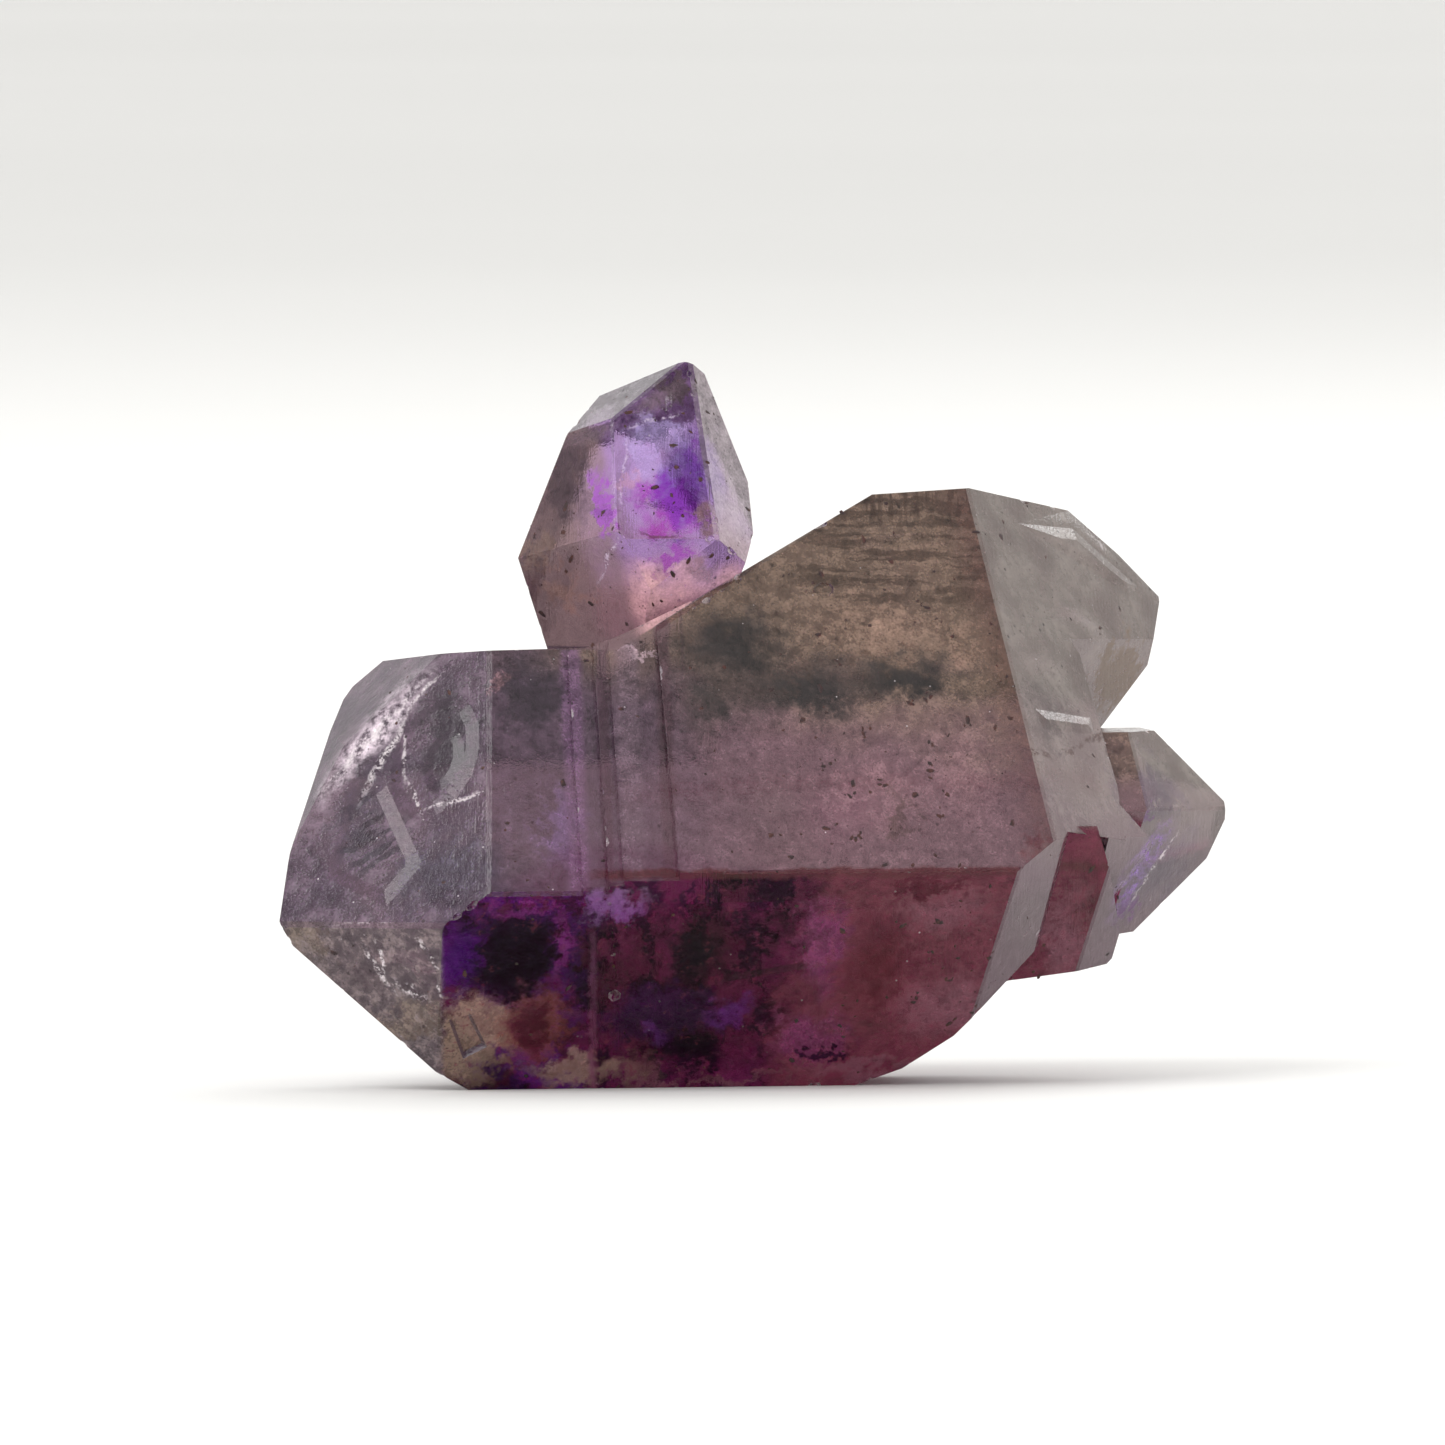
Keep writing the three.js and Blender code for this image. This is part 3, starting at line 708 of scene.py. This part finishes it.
# %% The colours of each part of the stone
def upper_face(look, g):
    """Smoky brown at the top right, mauve below, purple grey to the left, with smoke."""
    cloudy = look.mixed(look.rise(g.x + g.coarse * 5, -6, 5), PURPLE_GREY, MAUVE)
    cloudy = look.mixed(look.rise(g.z + g.x * 0.25 + g.coarse * 6, 20, 26), cloudy, BROWN)
    body = Layers(look, SMOKY_GLASS, cloudy, 0.6).patched(g, UPPER_PATCHES)
    body = body.patched(g, LEFT_PATCHES)
    high = look.rise(g.z + g.coarse * 2, 23.6, 26.2) * look.rise(g.x, 0.5, 3.5)
    streaks = look.noise(look.vector("MULTIPLY", g.near, (0.16, 0.4, 2.6)), 1.0, 2, 0.6)
    body = body.over(look.rise(streaks, 0.46, 0.58) * high * 0.85, DARK_GLASS, DARK_BROWN, 0.7)
    upright = look.noise(look.vector("MULTIPLY", g.at, (3.0, 0.4, 0.35)), 1.0, 2, 0.6)
    top = look.rise(g.z, 27.6, 28.8)
    body = body.over(look.rise(upright, 0.5, 0.58) * top * 0.7, DARK_GLASS, DARK_BROWN, 0.6)

    # Growth bands stand across the left part.
    across = g.x + (g.z - 16) * 0.0425 + (g.fine - 0.5) * 0.5
    on_left = look.rise(g.x, -3.2, -4.0)
    for middle, half, tone, strength in GROWTH_BANDS:
        away = look.math("ABSOLUTE", across - middle)
        body = body.tinted(look.rise(away, half, half * 0.4, strength) * on_left, tone)
    near_end = look.rise(
        g.x * 0.766 - g.y * 0.469 + g.z * 0.4395 + g.fine * 1.5, 19.9, 21.6, 0.65
    )
    return body.tinted(near_end * look.rise(g.x, 17.4, 16.8), srgb(88, 58, 52))


def violet_heart_face(look, g):
    """The lower front face, clear enough to look into black violet, magenta and rust."""
    upright = look.noise(look.vector("MULTIPLY", g.torn, (0.8, 0.3, 0.3)), 1.0, 3, 0.65)
    heart = Layers(look, CRIMSON_GLASS, srgb(84, 0, 40), 0.3)
    heart = heart.over(look.rise(upright, 0.45, 0.6, 0.95), BLACK_GLASS, srgb(30, 0, 20), 0.12)
    far_left = look.rise(g.x + g.coarse * 4, -5.5, -7.5) * look.rise(g.fine, 0.42, 0.56)
    heart = heart.over(far_left, DEEP_VIOLET_GLASS, DEEP_VIOLET, 0.15)
    to_right = look.rise(g.x * 0.8 - g.z * 0.2 + g.coarse * 3 + g.fine * 2, 2.0, 4.2)
    heart = heart.over(to_right, RED_GLASS, srgb(114, 50, 64), 0.5)
    heart = heart.patched(g, LOWER_PATCHES)
    seam = look.rise(look.math("ABSOLUTE", g.x + 8.1 + (g.fine - 0.5) * 0.8), 0.3, 0.05)
    seam = seam * look.rise(g.z, 8.6, 7.6, 0.7)
    heart = heart.over(seam, ROSE_GLASS, srgb(124, 66, 104), 0.4)
    freckles = look.rise(g.fine + (g.grain - 0.5) * 0.3, 0.60, 0.68, 0.5)
    return heart.over(freckles, RED_GLASS, srgb(108, 30, 52), 0.35)


def right_end_faces(look, g):
    """The right end, finely lined, with a beige and a lilac part, and pale grey that is partly a
    painted reflection.
    """
    # The pale grey base of the right end is partly a painted reflection.
    grey = look.mixed(look.rise(g.coarse + g.fine * 0.5, 0.6, 0.95), PALE_GREY, WARM_GREY)
    grey = look.mixed(look.rise(g.z + g.coarse * 4, 17, 12), grey, ROSE_GREY)
    right = Layers(look, CLEAR_GLASS, grey, 0.66).patched(g, RIGHT_PATCHES)
    dots = look.rise(g.fine + g.grain * 0.8, 0.86, 0.94)
    return right.stroked(g, RIGHT_STROKES, g.broken).stroked(g, SUTURE, dots)


def left_end_faces(look, g):
    """The left end, purple grey with healed cracks and painted highlights, and beige where it meets
    the floor.
    """
    shade = look.mixed(look.rise(g.coarse, 0.35, 0.65), srgb(72, 53, 72), srgb(100, 79, 96))
    high = Layers(look, SMOKY_GLASS, shade, 0.78).patched(g, LEFT_PATCHES)
    slant = look.node(
        "ShaderNodeCombineXYZ", {},
        {
            0: look.vector("DOT_PRODUCT", g.near, (-1.5, 0, 2.3)),
            1: look.vector("DOT_PRODUCT", g.near, (0.3, 0, 0.2)),
        },
    )
    hatch = look.rise(look.noise(slant, 1.0, 1, 0.5), 0.48, 0.58)
    hatch = hatch * look.blob(g.torn, face_point(-19.2, 12.8), (2.8, 5, 3.4), 0.6)
    high = high.over(hatch * 0.9, DARK_GLASS, srgb(38, 32, 50), 0.6)
    # A painted highlight band along the upper left edge, broken up by noise.
    high = high.stroked(g, LEFT_EDGE_HIGHLIGHT, look.rise(g.fine, 0.3, 0.56))
    # Cracks, with two painted highlight lines along the upper left edge.
    high = high.stroked(g, LEFT_CRACKS_AND_HIGHLIGHTS, g.broken)
    low_shade = look.mixed(look.rise(g.fine, 0.4, 0.62), srgb(104, 90, 97), srgb(138, 122, 124))
    low = Layers(look, SMOKY_GLASS, low_shade, 0.6).patched(g, LOW_LEFT_PATCHES)
    # Painted highlights on the lower steps.
    low = low.stroked(g, LOW_LEFT_HIGHLIGHTS, g.broken)
    return high, low


def small_point(look, g, right_end, up):
    """The small point: violet in the middle, smoky to its left and pink at its foot, with painted
    reflections in pale grey on its faces that look right and up.
    """
    tip = Layers(look, LILAC_GLASS, srgb(146, 106, 166), 0.22)
    tip = tip.over(look.rise(g.z + g.coarse * 3, 28.4, 26.4), PINK_GLASS, srgb(226, 176, 178), 0.55)
    to_left = look.rise(g.x + g.coarse * 2 + g.z * 0.25, 1.6, 0.4)
    tip = tip.over(to_left, SMOKY_GLASS, srgb(128, 102, 106), 0.5)
    tip = tip.patched(g, POINT_PATCHES)
    rust = look.rise(g.fine + (g.grain - 0.5) * 0.5, 0.58, 0.64, 0.6) * to_left
    tip = tip.tinted(rust, srgb(72, 50, 46))
    tip = tip.stroked(g, POINT_BANDS, look.rise(g.fine, 0.28, 0.5))
    # Painted highlights, drawn as white lines.
    tip = tip.stroked(g, POINT_HIGHLIGHTS, g.broken)
    # Painted reflections: the faces of the point that look right, and those that look up, are made
    # pale grey.
    tip = tip.over(right_end, CLEAR_GLASS, srgb(184, 172, 178), 0.6)
    return tip.over(look.rise(up, 0.6, 0.7), CLEAR_GLASS, srgb(156, 150, 156), 0.55)


# Middle (x in millimetres), half width, colour and strength of each growth band.
GROWTH_BANDS = [
    (-9.0, 0.7, srgb(128, 92, 128), 0.7), (-7.45, 0.36, srgb(76, 50, 64), 0.85),
    (-6.2, 0.8, srgb(120, 98, 112), 0.6), (-4.4, 0.5, srgb(84, 58, 68), 0.8),
    (-3.4, 0.12, srgb(70, 50, 60), 0.6),
]
# Cells to a millimetre, size, colour, rarity and strength of the dots: white dots of dust and
# painted glints, and dark pits.
DUST_PITS_AND_GLINTS = [
    (1.7, 0.1, FROST, 0.86, 0.7), (2.6, 0.17, srgb(44, 28, 30), 0.66, 0.7),
    (1.1, 0.13, srgb(30, 20, 24), 0.66, 0.8),
]


# %% Clear and cloudy quartz, put together
def dusted_and_glinted(look, g, layers):
    """The same with white dots of dust and painted glints, dark pits and rust dots over it."""
    for scale, size, tone, rarity, strength in DUST_PITS_AND_GLINTS:
        away, kind = look.cells(g.at, scale)
        chosen = look.rise(look.parts(kind)[0], rarity, rarity + 0.02)
        layers = layers.tinted(look.rise(away, size, size * 0.5, strength) * chosen, tone)
    return layers


def crystal(look, g, layers, relief, contrast=1.0):
    """What one part of the stone does to light: clear quartz and its cloudy share."""
    worn = g.wear * look.rise(g.fine, 0.42, 0.62, 0.9)
    layers = dusted_and_glinted(look, g, layers.over(worn, CLEAR_GLASS, FROST, 0.6))
    mottled = look.scaled(layers.cloudy, g.mottle * contrast + 1.0)
    haze = layers.haze + (g.fine - 0.5) * 0.5
    haze = look.between(g.front, haze * 0.6, haze)
    rough = 0.08 + look.rise(g.fine, 0.4, 0.7, 0.16) + g.wear * 0.25
    both = {"Roughness": rough, "IOR": IOR_OF_QUARTZ, "Normal": relief}
    clear = {"Base Color": layers.glass, "Transmission Weight": 1.0, "Specular Tint": DIM_GLINT}
    return look.blend(
        haze, look.node("ShaderNodeBsdfPrincipled", {}, {**both, **clear}),
        look.node("ShaderNodeBsdfPrincipled", {}, {**both, "Base Color": mottled}),
    )


def amethyst():
    """The whole material: six parts of the stone, chosen by Mix Shaders."""
    look = Look("smoky_amethyst")
    g = Grain(look)
    nx, ny, nz = look.parts(look.facing())
    upper = look.rise(nz, -0.12, 0.12).higher(look.rise(g.z, 12.6, 13.4))
    right_end = look.rise(nx, 0.42, 0.52)
    left_end = look.rise(nx, -0.28, -0.38)
    low_left_end = left_end.higher(look.rise(g.x, -15.4, -15.8))
    g.front = look.rise(ny, -0.1, -0.3)
    g.wear = look.node("ShaderNodeAttribute", {"attribute_name": "wear"}, output="Fac")
    g.mottle = (g.fine - 0.5) * 1.1 + (g.grain - 0.5) * 0.9 + (g.brush - 0.5) * 0.7
    over_slope = (g.z - 25.8) * 0.85 - (g.x + 0.5) * 0.52
    on_point = look.rise((g.z - 21.9).lower(over_slope), -0.05, 0.05)

    lines = look.noise(look.vector("MULTIPLY", g.at, (9.0, 1.0, 0.5)), 1.0, 1, 0.6)
    height = lines * look.rise(g.x, -17, -12, 0.5) + g.fine * 0.7 + g.grain * 0.35
    relief = look.node(
        "ShaderNodeBump", {},
        {"Strength": RELIEF_STRENGTH, "Distance": RELIEF_DEPTH, "Height": height}, "Normal",
    )
    rim = look.rise(look.math("ABSOLUTE", g.near_z - 10.9), 0.36, 0.1, 0.85) * g.front
    rim = rim * look.rise(g.x, -9, -7)
    body = upper_face(look, g).patched(g, BACK_PATCHES).over(rim, RED_GLASS, RUST, 0.6)
    heart = violet_heart_face(look, g).patched(g, BACK_PATCHES).over(rim, RED_GLASS, RUST, 0.6)
    left_high, left_low = left_end_faces(look, g)
    above = look.blend(
        left_end, crystal(look, g, body, relief, 1.5), crystal(look, g, left_high, relief, 1.3)
    )
    below = look.blend(
        low_left_end, crystal(look, g, heart, relief, 1.3), crystal(look, g, left_low, relief, 1.3)
    )
    right = crystal(look, g, right_end_faces(look, g), relief, 0.4)
    sides = look.blend(right_end, look.blend(upper, below, above), right)
    tip = crystal(look, g, small_point(look, g, right_end, nz), relief)
    inside = look.node(
        "ShaderNodeVolumeAbsorption", {},
        {"Color": AMETHYST_KEEPS, "Density": AMETHYST_DENSITY},
    )
    return look.done(look.blend(on_point, sides, tip), inside)


stone.data.materials.clear()
stone.data.materials.append(amethyst())
print("nodes in the amethyst:", len(stone.active_material.node_tree.nodes))

# %% [markdown]
# ## Violet and smoke inside
# In the photograph black violet clots hang in the lower half, and smoke drifts under the
# upper face. They are zones of the crystal that took up more iron or more radiation, so
# they have no surface of their own: light just loses more colour there. Each zone is a
# lumpy closed body that holds only a Volume Absorption. Its points are pulled back to
# stay inside the stone. A painted patch would lie on the face, and not move behind it
# when the stone is turned.

# %% Zones of deeper colour
UNDER_FACE = 0.2


def zone_look(name, takes):
    """A material that only absorbs, given what it takes from each colour over a metre."""
    most = max(takes)
    look = Look(name)
    kept = tuple(1 - value / most for value in takes) + (1.0,)
    return look.done(
        volume=look.node("ShaderNodeVolumeAbsorption", {}, {"Color": kept, "Density": most})
    )


def zone(name, middle, half, material, seed, turn=0.0, lumps=0.45):
    """A lumpy body about a middle, in millimetres, kept inside the stone."""
    bm = bmesh.new()
    bmesh.ops.create_icosphere(bm, subdivisions=4, radius=1.0)
    middle = Vector(middle)
    tilt = Matrix.Rotation(math.radians(turn), 3, "Y")
    for vert in bm.verts:
        way = vert.co.normalized()
        lump = noise.fractal(way * 1.3 + Vector((seed, 0, 0)), 0.9, 2.0, 4)
        reach = tilt @ Vector(a * b for a, b in zip(way * (1 + lumps * lump), half))
        hit = surface.ray_cast(middle, reach.normalized())
        room = max(0.02, hit[3] - UNDER_FACE) if hit[0] else 0.02
        vert.co = middle + reach.normalized() * min(reach.length, room)
    made = finished(bm, name)
    made.data.materials.append(material)
    for face in made.data.polygons:
        face.use_smooth = True
    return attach(made, "root")


VIOLET_ZONE = zone_look("violet_zone", (40, 190, 70))
CLOT_ZONE = zone_look("black_violet_zone", (330, 900, 330))
RUSTY_ZONE = zone_look("red_brown_zone", (130, 420, 330))
SMOKE_ZONE = zone_look("smoke_zone", (330, 400, 400))
BLUE_ZONE = zone_look("blue_violet_zone", (300, 420, 90))

ZONES = [
    ("violet_heart", VIOLET_ZONE, (-5.0, 6.0, 6.0), (9.5, 4.5, 4.2), 0),
    ("clot_left", CLOT_ZONE, (-12.0, 7.0, 2.4), (2.0, 1.8, 2.3), 10),
    ("clot_middle", CLOT_ZONE, (-8.2, 6.6, 3.0), (1.4, 2.0, 2.6), -8),
    ("clot_low", CLOT_ZONE, (-4.6, 3.4, 2.8), (3.2, 1.9, 1.5), 8),
    ("clot_high", CLOT_ZONE, (-2.9, 7.8, 3.0), (1.9, 1.8, 1.9), 0),
    ("clot_right", CLOT_ZONE, (0.9, 8.6, 2.4), (0.9, 1.5, 1.6), 15),
    ("slot_right", CLOT_ZONE, (3.2, 2.2, 0.8), (1.7, 0.6, 0.35), 12),
    ("rust_right", RUSTY_ZONE, (5.6, 5.6, 2.0), (1.7, 1.5, 2.6), 10),
    ("rust_left", RUSTY_ZONE, (-10.8, 3.2, 1.6), (1.5, 1.0, 1.1), 0),
    ("violet_left", BLUE_ZONE, (-14.6, 6.9, 1.6), (1.0, 1.4, 1.6), 0),
    ("smoke_left", SMOKE_ZONE, (-1.5, 21.8, 1.6), (3.2, 1.3, 2.1), -20),
    ("smoke_middle", SMOKE_ZONE, (2.4, 19.4, 1.4), (2.1, 1.0, 1.1), 0),
    ("smoke_right", SMOKE_ZONE, (7.2, 20.2, 1.3), (2.5, 0.9, 0.9), 0),
    ("smoke_far_left", SMOKE_ZONE, (-11.4, 18.8, 1.5), (1.7, 1.0, 2.4), 0),
    ("violet_in_point", BLUE_ZONE, (-3.4, 30.0, 2.6), (1.5, 1.4, 2.4), 10),
]
for seed, (name, material, (x, z, depth), half, turn) in enumerate(ZONES):
    zone(name, face_point(x, z, depth), half, material, seed * 7.3, turn)
print("zones inside the stone:", len(ZONES))

# %% [markdown]
# ## Rust specks on the faces
# Small dark flakes of iron oxide sit on the faces and in their pits, thickest on the
# upper front, the small point and the red part below. Dots in the material would do from
# afar. Real flakes, each a flattened crumb pressed into its face, also catch the light
# and stay sharp when someone comes close.

# %% Specks
SPECK_SEED = 11
SPECK_COUNT = 560
SPECK_SIZES = (0.035, 0.18)
SPECK_SINK = 0.4
SEEN_SHARE = 0.75
CLUMP_SPREAD = 0.16
CLUMP_SIZES = (0.06, 0.15)


def add_speck(bm, spot, normal, size, random_source):
    """A flat crumb with an uneven outline, lying on a face."""
    made = bmesh.ops.create_icosphere(bm, subdivisions=1, radius=1.0)
    lie = normal.to_track_quat("Z", "Y")
    spin = Matrix.Rotation(random_source.uniform(0, 2 * math.pi), 3, "Z")
    long_way = random_source.uniform(0.8, 2.2)
    for vert in made["verts"]:
        bump = random_source.uniform(0.6, 1.2)
        flat = Vector((vert.co.x * long_way, vert.co.y, vert.co.z * 0.3)) * bump * size
        vert.co = spot + lie @ (spin @ flat) - normal * size * 0.3 * SPECK_SINK


def specks(name, count, inside, sizes, seed):
    """Specks where the test lets them be, on the faces of the stone."""
    source = random.Random(seed)
    bm = bmesh.new()
    low, high = (Vector(c) / MM for c in cad_box)
    made = 0
    while made < count:
        x, z = source.uniform(low.x, high.x), source.uniform(low.z, high.z)
        ahead = source.random() < SEEN_SHARE
        start = Vector((x, -60 if ahead else 60, z))
        hit = surface.ray_cast(start, Vector((0, 1 if ahead else -1, 0)))
        if hit[0] is None or source.random() > inside(x, hit[0].y, z, ahead):
            continue
        size = sizes[0] + (sizes[1] - sizes[0]) * source.random() ** 3
        add_speck(bm, hit[0], hit[1], size, source)
        made += 1
    clumps(bm, CLUMPS, seed)
    for vert in bm.verts:
        vert.co = Vector(max(a, min(b, c)) for a, b, c in zip(low, vert.co, high))
    made_object = finished(bm, name)
    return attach(made_object, "root")


def speck_share(x, y, z, ahead):
    """How likely a speck is at a place: 1 where they are thickest."""
    if not ahead:
        return 0.25
    if z > 22 and x < 0.3 and z - 25.8 > (x + 0.5) * 0.61:
        return 0.9
    if z > 11:
        return 0.5 if -4 < x < 14 else 0.15
    return 0.45 if x > 3 else 0.12


# Middles of the clumps that stand out on the front faces.
CLUMPS = [
    (8.4, 24.1), (9.5, 23.2), (4.1, 21.0), (7.9, 19.5), (8.7, 19.4), (5.6, 17.9), (8.7, 17.2),
    (3.9, 16.4), (3.3, 16.0), (8.7, 15.8), (6.5, 15.2), (4.9, 14.8), (9.3, 13.8), (5.1, 12.7),
    (10.6, 18.0), (9.1, 8.4), (8.8, 6.6), (9.8, 5.4), (8.0, 4.6),
]


def clumps(bm, middles, seed):
    """A few flakes side by side about each middle."""
    source = random.Random(seed)
    for x, z in middles:
        for _ in range(source.randint(2, 4)):
            aside, up = source.gauss(0, CLUMP_SPREAD), source.gauss(0, CLUMP_SPREAD)
            hit = surface.ray_cast(Vector((x + aside, -60, z + up)), Vector((0, 1, 0)))
            add_speck(bm, hit[0], hit[1], source.uniform(*CLUMP_SIZES), source)


# %% The colour of iron oxide
rust_look = Look("iron_oxide")
rust_at = rust_look.place()
rust_tone = rust_look.rise(rust_look.noise(rust_at, 3.0), 0.4, 0.6)
rust_colour = rust_look.mixed(rust_tone, srgb(38, 16, 20), srgb(66, 28, 22))
rust_rough = 0.45 + rust_look.noise(rust_at, 12.0) * 0.3
rust_look.done(
    rust_look.node(
        "ShaderNodeBsdfPrincipled", {}, {"Base Color": rust_colour, "Roughness": rust_rough}
    )
)

# %% Make the specks
speck_piece = specks("iron_specks", SPECK_COUNT, speck_share, SPECK_SIZES, SPECK_SEED)
speck_piece.data.materials.append(rust_look.material)
print("faces of the specks:", len(speck_piece.data.polygons))

# %% [markdown]
# ## Floor, light and camera
# The stone stands in an even white light, as in the photograph, on a plain pale floor. A
# single hard lamp would give black reflections in clear crystal. Two large soft lamps and
# a bright surrounding do what a photographer's light tent does. The camera looks from far
# away through a long lens, because the photograph shows hardly any perspective.

# %% Floor and light
FLOOR_RADIUS = 12.0
LAMP_SIZE = 0.8
KEY_LAMP = ((-0.7, -0.7, 1.1), 9.0)
BACK_LAMP = ((0.6, 1.0, 1.0), 7.0)
SURROUNDING = ((1.0, 0.99, 0.97, 1), 0.95)


def floor():
    """A wide round floor of matt pale paint."""
    bm = bmesh.new()
    bmesh.ops.create_circle(bm, cap_ends=True, segments=128, radius=FLOOR_RADIUS)
    made = finished(bm, "studio_floor", 1.0)
    look = Look("pale_floor")
    tone = look.noise(look.place(), 0.002, 2, 0.5)
    paint = look.mixed(tone, (0.80, 0.80, 0.79, 1), (0.84, 0.84, 0.83, 1))
    matt = look.node("ShaderNodeBsdfPrincipled", {}, {"Base Color": paint, "Roughness": 0.7})
    made.data.materials.append(look.done(matt))


def soft_light(name, place, power, toward=(0, 0, 0.015)):
    """A large square lamp that looks at the stone."""
    lamp = bpy.data.lights.new(name, "AREA")
    lamp.shape, lamp.size, lamp.energy = "SQUARE", LAMP_SIZE, power
    made = bpy.data.objects.new(name, lamp)
    made.location = place
    made.rotation_euler = (Vector(place) - Vector(toward)).to_track_quat("Z", "Y").to_euler()
    bpy.context.scene.collection.objects.link(made)


floor()
soft_light("key", *KEY_LAMP)
soft_light("back", *BACK_LAMP)
world = bpy.data.worlds.new("studio")
bpy.context.scene.world = world
world.use_nodes = True
sky = world.node_tree.nodes["Background"]
sky.inputs["Color"].default_value, sky.inputs["Strength"].default_value = SURROUNDING
print("lamps:", KEY_LAMP[1], "and", BACK_LAMP[1], "watts")

# %% The camera
FRAME_WIDTH = 0.07225
DISTANCE = 1.5
ELEVATION = 2.0
TARGET = Vector((-0.00163, -0.006, 0.0182))

camera = bpy.data.cameras.new("camera")
camera.sensor_width = 36
camera.lens = camera.sensor_width * DISTANCE / FRAME_WIDTH
camera.clip_start, camera.clip_end = 0.05, 20
viewer = bpy.data.objects.new("camera", camera)
lift = math.radians(ELEVATION)
back = Vector((0, -math.cos(lift), math.sin(lift)))
viewer.location = TARGET + back * DISTANCE
viewer.rotation_euler = back.to_track_quat("Z", "Y").to_euler()
bpy.context.scene.collection.objects.link(viewer)
bpy.context.scene.camera = viewer
print("lens in mm:", round(camera.lens))

# %% How far light is followed
# Clear crystal needs more bounces than paint. More than these only cost time.
LIGHT_PATHS = {
    "max_bounces": 7, "transmission_bounces": 7, "diffuse_bounces": 3, "glossy_bounces": 4,
    "transparent_max_bounces": 24, "caustics_reflective": False,
    "sample_clamp_indirect": 6.0, "use_adaptive_sampling": True, "adaptive_threshold": 0.04,
}
bpy.context.scene.view_settings.view_transform = "Standard"
for setting, value in LIGHT_PATHS.items():
    setattr(bpy.context.scene.cycles, setting, value)
